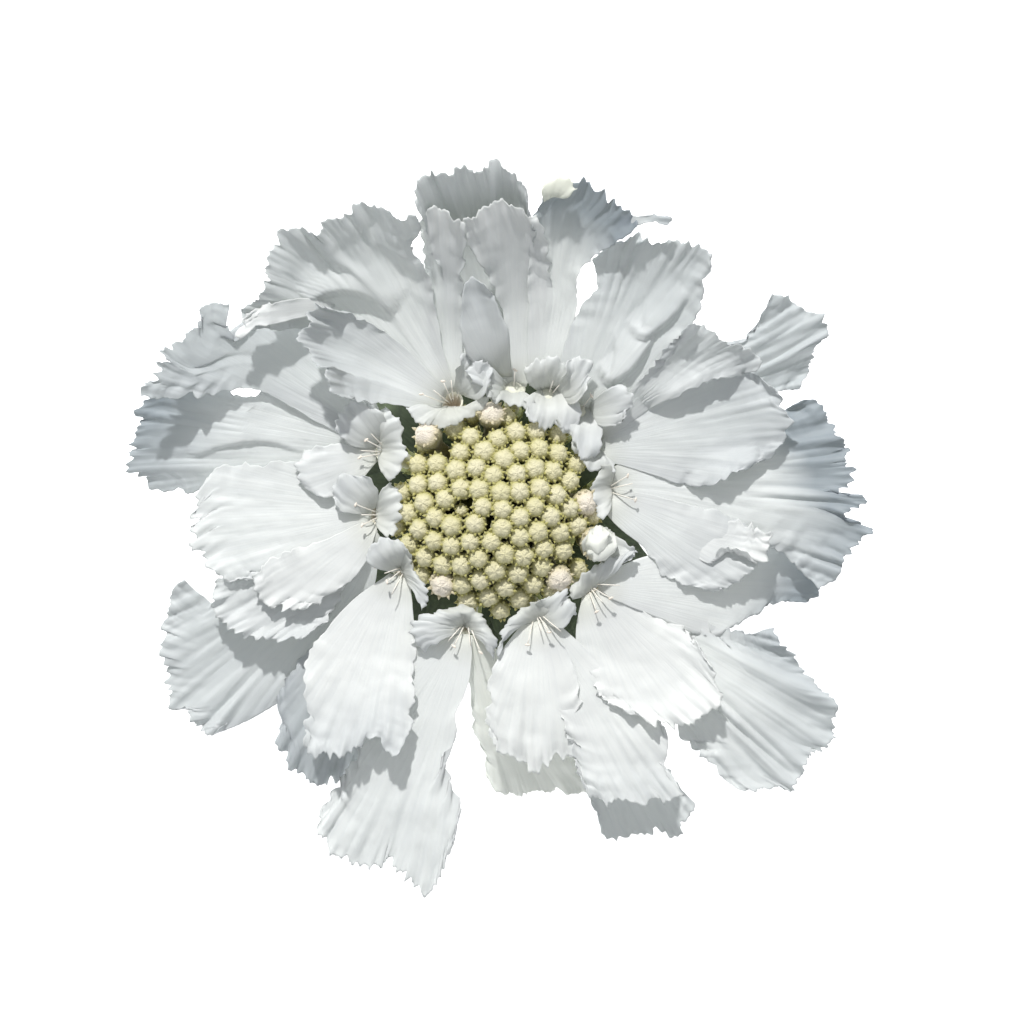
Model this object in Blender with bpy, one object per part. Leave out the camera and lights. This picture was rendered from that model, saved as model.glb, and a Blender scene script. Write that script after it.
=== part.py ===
"""A white scabiosa head, picked just below its bracts and lying face up.

Metres, +Z up. The origin is on the surface that the head lies on, under the middle of its outline.
Outlines are in millimetres from the disc's axis, and MM turns them into metres.
A lobe is a thin sheet between a left and a right margin and a tip margin, as seen from the throat.
"""

import math

import bpy
import numpy as np
from mathutils import Matrix, Vector

MM = 0.001

# The disc's axis, from the middle of the outline.
AXIS = (0.4, 1.8)

# Petals.
PETAL_THICKNESS = 0.42
THROAT_HEIGHT = 14.0
THROAT_RADIUS = 1.15
TUBE_FOOT_RADIUS = 0.7
TUBE_FOOT_AT = (8.95, 7.3)  # distance from the axis, height
TUBE_SIDES = 10
LOBE_ROWS = 5

# Disc of buds.
BUD_COUNT = 76
OPENED_BUD = 73  # the half-open floret stands in this bud's place
RIM_BUD_FIRST = 54  # buds from this one on are separate pieces
BUD_SPREAD = 1.075
BUD_RADIUS = 0.94
BUD_LEAN = 0.2  # share of its distance from the axis that a bud leans out over its foot
BUD_SIDES = 8
BUD_SINK = 1.0  # how far an inner bud's foot reaches into the receptacle
BUD_GAP = 0.5  # from a rim bud's foot to the receptacle
DISC_TOP = 18.4
DISC_DROP = 0.046  # fall of the bud tops with the square of the distance
TURN = math.radians(137.508)
TURN_START = math.radians(20)

# Receptacle: distance from the axis and height, bottom to top.
RECEPTACLE = (
    (1.9, 3.8),
    (4.6, 4.5),
    (7.3, 6.3),
    (8.1, 7.9),
    (7.2, 9.4),
    (5.0, 10.7),
    (2.4, 11.4),
    (0.0, 11.6),
)
RECEPTACLE_SIDES = 24

# Stem and bracts.
STEM_PROFILE = ((1.3, 0), (1.4, 0.4), (1.4, 2.6), (1.6, 3.5))  # distance from the axis, height
STEM_SIDES = 12
BRACT_COUNT = 10
BRACT_FIRST = math.radians(14)
BRACT_THICKNESS = 0.5
BRACT_SPINE = ((2.3, 3.0), (5.0, 3.5), (8.0, 3.9), (11.0, 2.8), (13.4, 0.25))  # distance, height
BRACT_WIDTHS = (1.2, 2.6, 3.9, 3.0, 0.5)

# Half-open floret between the disc and two rays.
HALF_OPEN_AT = (9.9, -3.3)
HALF_OPEN_HEIGHT = 15.2
HALF_OPEN_RADIUS = 1.35
HALF_OPEN_FOOT = (8.7, 9.6)  # distance from the axis, height

PETAL_WHITE = (0.86, 0.87, 0.86)
BUD_GREEN = (0.72, 0.72, 0.42)
BRACT_GREEN = (0.05, 0.08, 0.03)
STEM_GREEN = (0.16, 0.24, 0.08)
CREAM = (0.85, 0.80, 0.66)


def lobe(left, tip, right, mid, end, cup=0.0, tilt=0.0, columns=5):
    """One lobe: margins from the throat outwards, tip from left to right, and its heights.

    mid and end are heights halfway and at the tip, cup lifts both margins, tilt the right one.
    """
    return {
        "left": left,
        "tip": tip,
        "right": right,
        "mid": mid,
        "end": end,
        "cup": cup,
        "tilt": tilt,
        "columns": columns,
    }


# Ray florets, anticlockwise from the upper left: the throat's place and its lobes.
RAYS = {
    "ray_floret_01": (
        (-4.8, 10.9),
        lobe(
            [(-6.0, 11.4), (-13, 16.0), (-19, 18.2), (-23, 17.9), (-25.2, 18.0)],
            [(-24, 21.6), (-22.8, 25), (-20.5, 28), (-15.8, 28.8), (-13, 30.6), (-10, 29.4)],
            [(-5.2, 12.0), (-7.5, 17), (-8.8, 22), (-8.7, 25.6), (-8.3, 29.4)],
            16.0, 20.6, cup=0.4, columns=8,
        ),
        lobe(
            [(-6.2, 10.0), (-10.5, 10.6), (-13, 11), (-16.3, 11.6)],
            [(-18.5, 14), (-20.2, 16.8), (-18.7, 20)],
            [(-5.6, 11.6), (-10.5, 14.7), (-13, 18), (-16, 19.4), (-17.7, 20)],
            17.6, 19.4, cup=0.5, columns=6,
        ),
        lobe(
            [(-5.6, 12), (-7.5, 18), (-7.8, 23), (-7.7, 26), (-7.7, 28.2)],
            [(-7, 29.3), (-5.5, 29)],
            [(-4.4, 12), (-4.1, 17), (-4.0, 22), (-3.8, 26), (-3.7, 28)],
            17.8, 21.8, columns=3,
        ),
        lobe(
            [(-3.9, 10.9), (-2.8, 9.8), (-3.4, 9.0)],
            [(-4.6, 8.3), (-6.4, 8.2)],
            [(-5.7, 10.8), (-7.4, 10.0), (-7.8, 9.0)],
            15.6, 15.8, columns=3,
        ),
        lobe(
            [(-4.6, 11.6), (-3.2, 12.4), (-2.7, 13.6)],
            [(-2, 14.3)],
            [(-4.0, 11.0), (-2.4, 11.8), (-1.2, 12.9)],
            15.4, 16.4, columns=2,
        ),
    ),
    "ray_floret_02": (
        (1.1, 12.0),
        lobe(
            [(0.4, 12.6), (-2.5, 20), (-4.5, 25.5), (-6, 28.5), (-8.1, 30.5)],
            [(-8.1, 32.3), (-6.5, 33.5), (-3.7, 34), (-0.3, 34.5), (1.9, 33.1)],
            [(1.7, 12.6), (3.0, 20), (3.3, 26), (2.8, 31)],
            14.6, 22.6, cup=0.2, columns=7,
        ),
        lobe(
            [(0.4, 12.6), (-0.1, 17), (-0.6, 20), (-2.4, 25), (-3.4, 28)],
            [(-2.4, 28.9), (0, 29.6), (2, 30.5)],
            [(1.8, 12.5), (2.9, 17), (3.4, 22), (3.6, 27), (3.3, 30)],
            17.6, 22.2, cup=0.3, columns=5,
        ),
        lobe(
            [(0.3, 12.4), (-2.0, 15), (-3.2, 19), (-3.3, 22.6)],
            [(-2.6, 23.6), (-1.4, 23.4)],
            [(1.2, 12.6), (0.6, 15), (0.2, 18), (-0.3, 22)],
            15.0, 16.6, cup=0.5, columns=3,
        ),
    ),
    "ray_floret_03": (
        (4.9, 11.6),
        lobe(
            [(4.3, 12.3), (4.1, 18), (4.3, 22), (4.9, 25.5), (4.7, 29), (4.3, 32.2)],
            [(6, 32.7), (8.5, 32.5), (11.8, 31)],
            [(5.6, 12.3), (6.8, 17), (7.6, 20), (7.9, 23), (9.3, 25.4), (12.3, 28.6)],
            16.6, 22.6, columns=6,
        ),
        lobe(
            [(6.0, 11.4), (7.6, 10.4)],
            [(7.2, 9.2), (5.2, 8.9), (3.6, 9.3)],
            [(4.1, 11.3), (3.0, 10.4)],
            15.2, 15.4, columns=3,
        ),
    ),
    "ray_floret_04": (
        (8.0, 9.9),
        lobe(
            [(7.5, 10.5), (7.7, 14), (7.8, 17.5), (9.6, 21), (9.7, 24.2), (11.5, 26.8)],
            [(13.7, 27.2), (17, 26.5)],
            [(8.7, 10.3), (12, 12.4), (16, 16.2), (19.3, 18.9), (20.1, 22), (21, 25.6)],
            16.0, 18.0, tilt=0.8, columns=6,
        ),
        lobe(
            [(7.8, 10.6), (9.4, 14), (11, 17.6), (12.2, 19.3)],
            [(14.3, 20)],
            [(8.8, 10.2), (11, 12.6), (13.7, 15.4), (16.3, 18.2)],
            17.6, 19.6, cup=0.4, columns=3,
        ),
    ),
    "ray_floret_05": (
        (9.4, 6.6),
        lobe(
            [(9.5, 7.4), (14.5, 12.3), (17, 15.8), (19.2, 18.4)],
            [(21.6, 17.8), (24, 16.1)],
            [(10.0, 6.9), (14.5, 9.9), (19, 11.5), (22, 12.6), (25.4, 13.9)],
            15.3, 16.8, columns=5,
        ),
        lobe(
            [(10.0, 7.2), (15, 10.2), (20, 11.4), (25, 12.4), (27.3, 11.4)],
            [(28.9, 9.4), (28.3, 6.5)],
            [(10.0, 5.9), (12.5, 4.9), (15.5, 3.8), (18, 3.1), (21.7, 2.8), (26.3, 4.5)],
            13.6, 14.0, columns=6,
        ),
        lobe(
            [(9.9, 7.3), (17, 13), (23.5, 16.2), (25.5, 18.5), (27.4, 21.6)],
            [(29.6, 20.8), (32, 19.6), (32.6, 17.4), (31.3, 15)],
            [(10.1, 6.7), (17, 10.6), (24, 12.7), (29.4, 13)],
            12.4, 11.0, columns=5,
        ),
    ),
    "ray_floret_06": (
        (10.9, 2.2),
        lobe(
            [(11.4, 2.9), (18, 4.3), (24, 6.2), (28, 8.6), (30.6, 11)],
            [(32.5, 9), (34.6, 6.2), (35, 3), (36.2, 0.4), (36.4, -2.2), (34.6, -5)],
            [(11.5, 1.6), (18, -0.4), (23, -2.2), (27, -3.4), (29.3, -5), (31.9, -7.6)],
            12.2, 12.6, cup=0.2, columns=8,
        ),
        lobe(
            [(11.5, 2.1), (18, 0.8), (24, -1), (26.8, -3.2)],
            [(25.6, -5.4), (23.8, -7.5)],
            [(10.9, 1.2), (12.6, -2), (15, -5), (17.5, -7.2), (21.2, -8.1)],
            12.4, 12.8, cup=0.3, columns=5,
        ),
    ),
    "ray_floret_07": (
        (9.0, -7.6),
        lobe(
            [(9.7, -7.0), (15, -5.6), (22, -5.2), (28, -5.6), (31.4, -7.2)],
            [(31.8, -8.4)],
            [(9.8, -8.1), (16.2, -10.2), (19, -11.3), (23, -11.5), (27, -9.5), (30.6, -9.1)],
            10.8, 9.6, columns=5,
        ),
        lobe(
            [(9.8, -7.8), (15, -10.5), (19, -12.5), (20, -15)],
            [(20.4, -18), (18.4, -21), (15.6, -20.6)],
            [(8.8, -8.4), (8.6, -12), (8.9, -15), (9.5, -17.5), (12, -19.6)],
            11.8, 12.8, tilt=0.6, columns=6,
        ),
        lobe(
            [(9.8, -7.9), (17, -11.5), (23, -13), (25.5, -12.4), (27.6, -11.9)],
            [(29.2, -14.4), (32, -18), (33.2, -21), (32, -24), (30, -26.5), (27.5, -27.7)],
            [(9.2, -8.4), (14, -16), (17.6, -21.5), (18.2, -23.5), (20.3, -24.8), (23.5, -27.6)],
            9.8, 7.4, cup=0.3, columns=8,
        ),
    ),
    "ray_floret_08": (
        (3.7, -10.4),
        lobe(
            [(4.5, -11.0), (7, -15), (8, -19), (8.3, -23.2)],
            [(6.8, -25), (4, -26), (1.6, -26.2)],
            [(2.9, -11.0), (0.5, -14.5), (-1.2, -19), (-0.9, -23.4)],
            13.4, 12.8, columns=5,
        ),
        lobe(
            [(4.5, -10.7), (9, -17.5), (14, -22.8), (16.4, -25.5), (18, -27)],
            [(17.4, -28.8), (14.5, -29.3), (11, -29.2)],
            [(3.9, -11.4), (6, -17), (7.5, -22), (8.6, -27.8)],
            10.6, 11.0, columns=5,
        ),
        lobe(
            [(4.4, -10.9), (11, -19.4), (15.4, -23.8), (17.2, -26), (19.3, -29.3)],
            [(18.2, -32), (15.6, -32), (13, -32.6)],
            [(3.9, -11.2), (7, -20), (9.2, -27), (10, -32)],
            9.0, 6.4, columns=5,
        ),
    ),
    "ray_floret_09": (
        (-3.4, -11.3),
        lobe(
            [(-2.9, -12.2), (-3.5, -17.4), (-4.2, -20), (-4.9, -25.5), (-4.2, -30.5), (-4.8, -34)],
            [(-7.6, -38.2), (-9.6, -37.6), (-11.6, -34.9), (-14.5, -35.2), (-17.8, -32.6)],
            [(-4.0, -12.2), (-8, -17), (-11, -22), (-14, -25.5), (-17.4, -29.6)],
            11.2, 8.0, cup=0.2, columns=8,
        ),
        lobe(
            [(-2.6, -12.2), (0, -16), (2, -20), (5.6, -24), (8.9, -26.6)],
            [(5.5, -27.6), (1, -28.2)],
            [(-3.2, -12.4), (-3.3, -17), (-3.3, -20.5), (-2.6, -23.5), (-1.6, -27)],
            10.9, 9.0, columns=5,
        ),
        lobe(
            [(-2.9, -11.6), (-1.2, -10.4), (-0.2, -12.4)],
            [(-0.2, -14.6)],
            [(-2.8, -12.0), (-1.6, -12.8), (-0.9, -15)],
            15.2, 14.8, columns=2,
        ),
        lobe(
            [(-3.9, -12.0), (-5.6, -12.9), (-7.2, -14.4)],
            [(-8.3, -13.4)],
            [(-3.8, -11.5), (-6.2, -10.8), (-8.3, -11.9)],
            15.2, 14.6, columns=2,
        ),
    ),
    "ray_floret_10": (
        (-9.7, -5.7),
        lobe(
            [(-9.5, -6.8), (-8.8, -13), (-8.8, -18), (-9.4, -21.5), (-10.3, -24)],
            [(-12.6, -24), (-15.4, -23.5), (-17.5, -24.5)],
            [(-10.6, -6.6), (-14.5, -9.3), (-17.8, -12.4), (-19.4, -15), (-19.6, -19), (-19.4, -23.6)],
            13.8, 16.0, tilt=-0.8, columns=6,
        ),
        lobe(
            [(-9.9, -6.8), (-12, -15), (-13, -21), (-13.4, -24)],
            [(-15.6, -26.4), (-18.7, -27.2), (-21.2, -25.5)],
            [(-10.5, -6.4), (-16.4, -11.6), (-20.4, -16.4), (-20.8, -19), (-22.2, -22.5)],
            12.2, 10.6, columns=5,
        ),
        lobe(
            [(-9.2, -5.4), (-7.7, -6.6), (-7.3, -8)],
            [(-7.5, -9.2)],
            [(-9.6, -6.4), (-9.3, -7.8), (-8.7, -9.2)],
            15.0, 14.8, columns=2,
        ),
        lobe(
            [(-10.6, -5.4), (-12.2, -4.8), (-12.9, -4.1)],
            [(-11.8, -3.2)],
            [(-9.6, -4.9), (-10.0, -3.8), (-10.2, -3.1)],
            15.2, 15.4, columns=2,
        ),
    ),
    "ray_floret_11": (
        (-12.2, -0.4),
        lobe(
            [(-13.1, -0.9), (-18, -3.5), (-22, -5.5), (-25, -6.7)],
            [(-29, -5.2), (-30.4, -3), (-30.6, -0.5)],
            [(-13.1, 0.1), (-16, 1.4), (-20, 3.2), (-24, 4.4), (-28, 4.0), (-30, 2.2)],
            13.8, 13.8, columns=6,
        ),
        lobe(
            [(-12.6, -1.3), (-14, -5), (-16, -7.5), (-20, -9.9)],
            [(-23.4, -9.2)],
            [(-13.1, -0.8), (-18, -3.3), (-22, -4.4), (-24.8, -6.6)],
            15.2, 15.6, columns=4,
        ),
        lobe(
            [(-12.8, -1.2), (-16, -7), (-18, -10.6), (-19.4, -12)],
            [(-23, -12.7), (-26.8, -12.3), (-29, -9.5)],
            [(-13.1, -0.9), (-20, -5), (-25, -6), (-28.3, -6.4)],
            13.4, 13.4, columns=5,
        ),
        lobe(
            [(-12.9, -1.1), (-17, -9), (-21, -15), (-23.8, -18.2)],
            [(-26, -20.6), (-29, -21.6), (-32.2, -19.6), (-33.4, -15.5), (-33.6, -11)],
            [(-13.1, -0.8), (-21, -5.2), (-27, -8), (-31.6, -7.3)],
            11.0, 9.0, cup=0.3, columns=7,
        ),
    ),
    "ray_floret_12": (
        (-11.5, 6.1),
        lobe(
            [(-12.6, 6.4), (-19, 9.4), (-22, 11.6), (-26, 12.4), (-30, 12), (-35.4, 11.1)],
            [(-34, 13.6), (-33.4, 16), (-30.9, 18), (-29.6, 20.6)],
            [(-12.2, 7.0), (-17, 12.4), (-22, 15.5), (-25.4, 17.4), (-27.2, 20.9)],
            14.8, 16.0, columns=6,
        ),
        lobe(
            [(-12.6, 5.6), (-20, 3.6), (-30, 2.3), (-35, 2.6)],
            [(-37.2, 4), (-37.2, 6), (-36.4, 8.4)],
            [(-12.6, 6.6), (-20, 9.3), (-27, 11.6), (-34.4, 11.2)],
            12.0, 10.4, columns=6,
        ),
        lobe(
            [(-12.5, 5.4), (-14.5, 2.9), (-17, 1.4), (-19.3, 2.4)],
            [(-20.3, 4.3)],
            [(-12.6, 6.4), (-16.5, 6.5), (-19.6, 6)],
            15.7, 15.8, columns=4,
        ),
        lobe(
            [(-11.6, 7.0), (-11.4, 8.4), (-11.0, 10.2)],
            [(-10.2, 8.6), (-9.9, 6.8)],
            [(-11.2, 5.2), (-11.0, 4.6), (-10.6, 4.1)],
            15.8, 16.6, columns=3,
        ),
    ),
}


def material(name, colour, roughness):
    """A Principled material."""
    made = bpy.data.materials.new(name)
    made.use_nodes = True
    shader = made.node_tree.nodes["Principled BSDF"]
    shader.inputs["Base Color"].default_value = (*colour, 1)
    shader.inputs["Roughness"].default_value = roughness
    shader.inputs["Metallic"].default_value = 0
    return made


def through(points, count):
    """count points on a smooth curve through the given ones, evenly spaced by chord length."""
    points = np.array(points, float)
    at = np.r_[0, np.cumsum(np.linalg.norm(np.diff(points, axis=0), axis=1))]
    slopes = np.gradient(points, at, axis=0)
    wanted = np.linspace(0, at[-1], count)
    place = np.clip(np.searchsorted(at, wanted) - 1, 0, len(at) - 2)
    span = (at[place + 1] - at[place])[:, None]
    t = (wanted - at[place])[:, None] / span
    start, stop = points[place], points[place + 1]
    leaving, arriving = slopes[place] * span, slopes[place + 1] * span
    return (
        start * (2 * t**3 - 3 * t**2 + 1)
        + leaving * (t**3 - 2 * t**2 + t)
        + stop * (3 * t**2 - 2 * t**3)
        + arriving * (t**3 - t**2)
    )


def patch(shape, rows, columns):
    """A grid of points over a lobe, from throat to tip and from its left margin to its right one."""
    left = through(shape["left"], rows + 1)
    right = through(shape["right"], rows + 1)
    tip = through([shape["left"][-1], *shape["tip"], shape["right"][-1]], columns + 1)
    u = np.linspace(0, 1, rows + 1)[:, None, None]
    v = np.linspace(0, 1, columns + 1)[None, :, None]
    across = left[:, None] * (1 - v) + right[:, None] * v
    chord = left[-1] + (right[-1] - left[-1]) * v
    flat = across + u * (tip[None] - chord)
    u, v = u[..., 0], 2 * v[..., 0] - 1
    height = THROAT_HEIGHT * (1 - u) * (1 - 2 * u) + shape["mid"] * 4 * u * (1 - u)
    height = height + shape["end"] * u * (2 * u - 1) + u * (shape["cup"] * v**2 + shape["tilt"] * v)
    return np.dstack([flat, height])


def sheet(name, grid, thickness):
    """A closed sheet of this thickness over a grid of points."""
    along, across = np.gradient(grid, axis=0), np.gradient(grid, axis=1)
    normal = np.cross(along, across)
    normal *= np.sign(normal[..., 2:]) / np.linalg.norm(normal, axis=2, keepdims=True)
    top = (grid + normal * thickness / 2).reshape(-1, 3)
    bottom = (grid - normal * thickness / 2).reshape(-1, 3)
    rows, columns = grid.shape[:2]
    index = np.arange(rows * columns).reshape(rows, columns)
    quads = np.dstack([index[:-1, :-1], index[1:, :-1], index[1:, 1:], index[:-1, 1:]]).reshape(-1, 4)
    edge = np.r_[index[:, 0], index[-1, 1:], index[-2::-1, -1], index[0, -2:0:-1]]
    after = np.roll(edge, -1)
    count = rows * columns
    rim = np.column_stack([edge, edge + count, after + count, after])
    faces = [*quads.tolist(), *(quads[:, ::-1] + count).tolist(), *rim.tolist()]
    return mesh_object(name, np.r_[top, bottom], faces)


def mesh_object(name, points, faces):
    """An object on the disc's axis, from points in millimetres, with its faces turned outwards."""
    mesh = bpy.data.meshes.new(name)
    mesh.from_pydata((np.array(points) * MM).tolist(), [], faces)
    mesh.validate()
    obj = bpy.data.objects.new(name, mesh)
    obj.location = (AXIS[0] * MM, AXIS[1] * MM, 0)
    bpy.context.scene.collection.objects.link(obj)
    bpy.context.view_layer.objects.active = obj
    obj.select_set(True)
    bpy.ops.object.mode_set(mode="EDIT")
    bpy.ops.mesh.select_all(action="SELECT")
    bpy.ops.mesh.normals_make_consistent(inside=False)
    bpy.ops.object.mode_set(mode="OBJECT")
    obj.select_set(False)
    return obj


def turned(name, profile, sides, foot=(0, 0, 0), toward=(0, 0, 1)):
    """A solid turned from (radius, distance along) pairs about the line from foot toward a direction."""
    rings = [(radius, along) for radius, along in profile if radius > 0]
    angles = np.arange(sides) * 2 * math.pi / sides
    points = [(r * math.cos(a), r * math.sin(a), z) for r, z in rings for a in angles]
    faces = []
    for ring in range(len(rings) - 1):
        for side in range(sides):
            a, b = ring * sides + side, ring * sides + (side + 1) % sides
            faces.append((a, b, b + sides, a + sides))
    faces.append(tuple(range(sides))[::-1])
    last = (len(rings) - 1) * sides
    if profile[-1][0] > 0:
        faces.append(tuple(range(last, last + sides)))
    else:
        points.append((0, 0, profile[-1][1]))
        faces += [(last + side, last + (side + 1) % sides, len(points) - 1) for side in range(sides)]
    turn = Vector((0, 0, 1)).rotation_difference(Vector(toward)).to_matrix().to_4x4()
    place = Matrix.Translation(Vector(foot)) @ turn
    return mesh_object(name, [tuple(place @ Vector(point)) for point in points], faces)


def joined(name, first, others):
    """One solid made by Boolean unions of the given ones, which are used up."""
    for other in others:
        union = first.modifiers.new("union", "BOOLEAN")
        union.operation = "UNION"
        union.object = other
    graph = bpy.context.evaluated_depsgraph_get()
    whole = bpy.data.meshes.new_from_object(first.evaluated_get(graph))
    obj = bpy.data.objects.new(name, whole)
    obj.location = first.location
    for used in [first, *others]:
        bpy.data.objects.remove(used)
    bpy.context.scene.collection.objects.link(obj)
    return obj


def finish(obj, name, surface):
    """Names a piece and gives it its material and smooth shading."""
    obj.name = name
    obj.data.name = name
    obj.data.materials.clear()
    obj.data.materials.append(surface)
    obj.data.shade_smooth()
    obj.data.set_sharp_from_angle(angle=math.radians(50))


def polar(radius, angle, height):
    return (radius * math.cos(angle), radius * math.sin(angle), height)


def stem(surface):
    """The short cut stem."""
    finish(turned("stem", STEM_PROFILE, STEM_SIDES), "stem", surface)


def bud_profile(length, radius):
    """A bud on its narrow calyx: radius and distance from its foot."""
    ball = length - radius
    return (
        (radius * 0.5, 0),
        (radius * 0.55, ball - radius),
        (radius * 0.97, ball - radius * 0.35),
        (radius * 0.97, ball + radius * 0.35),
        (radius * 0.6, ball + radius * 0.8),
        (0, length),
    )


def receptacle_height(distance):
    """Height of the receptacle's upper side."""
    upper = RECEPTACLE[:2:-1]
    return float(np.interp(distance, [r for r, _ in upper], [z for _, z in upper]))


def bud(number, clearance):
    """One bud of the disc, its foot this far above the receptacle."""
    distance, angle = BUD_SPREAD * math.sqrt(number + 0.5), TURN_START + number * TURN
    foot_distance = distance * (1 - BUD_LEAN)
    foot = Vector(polar(foot_distance, angle, receptacle_height(foot_distance) + clearance))
    top = Vector(polar(distance, angle, DISC_TOP - DISC_DROP * distance**2))
    line = top - foot
    return turned("bud", bud_profile(line.length, BUD_RADIUS), BUD_SIDES, foot, line)


def disc(receptacle_surface, bud_surface):
    """The receptacle with its inner buds as one piece, and the rim's buds one by one."""
    core = turned("core", RECEPTACLE, RECEPTACLE_SIDES)
    inner = [bud(number, -BUD_SINK) for number in range(RIM_BUD_FIRST)]
    finish(joined("receptacle", core, inner), "receptacle", receptacle_surface)
    rim = [number for number in range(RIM_BUD_FIRST, BUD_COUNT) if number != OPENED_BUD]
    for place, number in enumerate(rim, 1):
        finish(bud(number, BUD_GAP), f"rim_bud_{place:02d}", bud_surface)


def tube(throat):
    """The corolla tube, from its foot beside the receptacle up to its throat."""
    angle = math.atan2(throat[1], throat[0])
    foot = Vector(polar(TUBE_FOOT_AT[0], angle, TUBE_FOOT_AT[1]))
    top = Vector((*throat, THROAT_HEIGHT + 0.5))
    line = top - foot
    profile = (
        (TUBE_FOOT_RADIUS, 0),
        (TUBE_FOOT_RADIUS * 1.1, line.length * 0.6),
        (THROAT_RADIUS, line.length),
    )
    return turned("tube", profile, TUBE_SIDES, foot, line)


def rays(surface):
    """The ray florets, each one corolla: its tube and lobes joined."""
    for name, (throat, *lobes) in RAYS.items():
        grids = [patch(shape, LOBE_ROWS, shape["columns"]) for shape in lobes]
        blades = [sheet("lobe", grid, PETAL_THICKNESS) for grid in grids]
        finish(joined(name, tube(throat), blades), name, surface)


def half_open_floret(surface):
    """The floret that is still opening: a rounded bud on its calyx with one petal spreading."""
    angle = math.atan2(HALF_OPEN_AT[1], HALF_OPEN_AT[0])
    foot = Vector(polar(HALF_OPEN_FOOT[0], angle, HALF_OPEN_FOOT[1]))
    top = Vector((*HALF_OPEN_AT, HALF_OPEN_HEIGHT))
    line = top - foot
    ball = turned("ball", bud_profile(line.length, HALF_OPEN_RADIUS), 10, foot, line)
    petal = lobe([(9.8, -2.7), (11.4, -2.9)], [(13.2, -3.8)], [(9.6, -4.2), (11.2, -4.6)], 14.3, 14.9)
    blade = sheet("petal", patch(petal, 2, 2), PETAL_THICKNESS)
    finish(joined("half_open_floret", ball, [blade]), "half_open_floret", surface)


def bracts(surface):
    """The green bracts under the head, whose tips carry it."""
    for number in range(BRACT_COUNT):
        angle = BRACT_FIRST + number * math.tau / BRACT_COUNT
        out, side = np.array(polar(1, angle, 0)), np.array(polar(1, angle + math.pi / 2, 0))
        across = np.linspace(-0.5, 0.5, 3)
        grid = np.array(
            [
                [out * r + side * w * s + (0, 0, z) for s in across]
                for (r, z), w in zip(BRACT_SPINE, BRACT_WIDTHS)
            ]
        )
        finish(sheet("bract", grid, BRACT_THICKNESS), f"bract_{number + 1:02d}", surface)


def main():
    for old in list(bpy.data.objects):
        bpy.data.objects.remove(old)
    bud_surface = material("bud_green", BUD_GREEN, 0.8)
    stem(material("stem_green", STEM_GREEN, 0.7))
    disc(material("receptacle_green", BUD_GREEN, 0.8), bud_surface)
    rays(material("petal_white", PETAL_WHITE, 0.6))
    half_open_floret(material("opening_petal", CREAM, 0.6))
    bracts(material("bract_green", BRACT_GREEN, 0.7))


main()
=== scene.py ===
"""The looks of a white scabiosa head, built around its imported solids: petals, buds, bracts and stem.

Metres, +Z up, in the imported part's frame. Outlines are in millimetres from the stem's axis.
A lobe is a thin sheet between a left and a right margin and a tip margin, as seen from the throat.
"""

import math
from dataclasses import dataclass

import bpy
import numpy as np
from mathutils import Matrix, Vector


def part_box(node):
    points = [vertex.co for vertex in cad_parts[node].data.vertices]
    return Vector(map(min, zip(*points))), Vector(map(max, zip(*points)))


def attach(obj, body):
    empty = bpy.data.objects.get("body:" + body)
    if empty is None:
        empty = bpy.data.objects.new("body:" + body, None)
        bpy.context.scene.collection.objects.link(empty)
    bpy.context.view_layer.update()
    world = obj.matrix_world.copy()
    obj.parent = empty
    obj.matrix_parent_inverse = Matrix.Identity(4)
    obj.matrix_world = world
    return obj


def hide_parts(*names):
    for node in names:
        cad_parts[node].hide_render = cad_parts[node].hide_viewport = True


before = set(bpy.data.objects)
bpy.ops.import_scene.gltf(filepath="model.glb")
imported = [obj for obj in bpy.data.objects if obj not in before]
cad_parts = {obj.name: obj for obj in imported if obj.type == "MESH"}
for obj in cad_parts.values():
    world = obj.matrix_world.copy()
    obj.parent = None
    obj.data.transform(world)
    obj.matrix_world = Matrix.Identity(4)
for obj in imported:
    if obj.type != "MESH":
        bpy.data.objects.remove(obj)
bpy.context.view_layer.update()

MM = 0.001
STEM_LOW, STEM_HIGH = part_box("stem")
AXIS = np.array([*((STEM_LOW + STEM_HIGH) / 2).xy, 0]) / MM

# Petals.
LOBE_SEEDS = 7  # each ray floret has this many numbers for the noise of its lobes
PETAL_THICKNESS, EDGE_SHARE = 0.14, 0.4  # a margin has this share of the thickness
THROAT_HEIGHT = 14.0
THROAT_DIP, DIP_REACH = 1.1, 1.2  # how far the lobes sink round the throat, and how far out
FACE_LONG, FACE_WIDE, FEWEST_FACES = 0.36, 0.165, 8  # size of a petal's faces, fewest along a side
FAN_SETBACK = 3.0  # the veins fan out from this far behind a lobe's foot
FAR_FROM_THROAT = 10.0  # added to the grain of a lobe that starts elsewhere, so that it has no throat colour
CREASE_WIDTH = 0.2  # of the creases between pleats, in the noise that makes them
TOOTH_REACH = 1.5  # how far in from a margin its teeth shape a petal
TIP_RIDGES = 0.8  # share of the ridges in the tip's fringe
SIDE_TEETH = 0.75  # height of the teeth at the sides, in that of the tip's
SIDE_WAVES = ((0.55, 0.2), (1.5, 0.14))  # waves to a millimetre along a side margin, height
LUMPS = ((4.7, 0.2), (2.1, 0.1), (0.8, 0.035))  # size and height of a petal's unevenness
FRILL_REACH, FRILL_SHARE = 1.2, 0.14  # how far in frills reach, at most this share of the lobe's width
ROLL_REACH = 1.3
FOLD_REACH, FOLD_DROP = 2.2, 0.15  # width of a fold's slope and of its drop
SHORT_LOBE, SHORT_LOBE_SHADE = 6.0, 0.28  # lobes round the throat up to this length get this much painted shade

# Ray florets: the materials of their parts, their tubes and their stamens.
PETAL_KIND, FILAMENT_KIND, ANTHER_KIND, TUBE_KIND, CALYX_KIND = range(5)
TUBE_FOOT_AT = (8.95, 7.3)  # distance from the axis, height
MOUTH_SUNK = 0.8  # how far the tube's mouth lies below the lobes' feet
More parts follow.
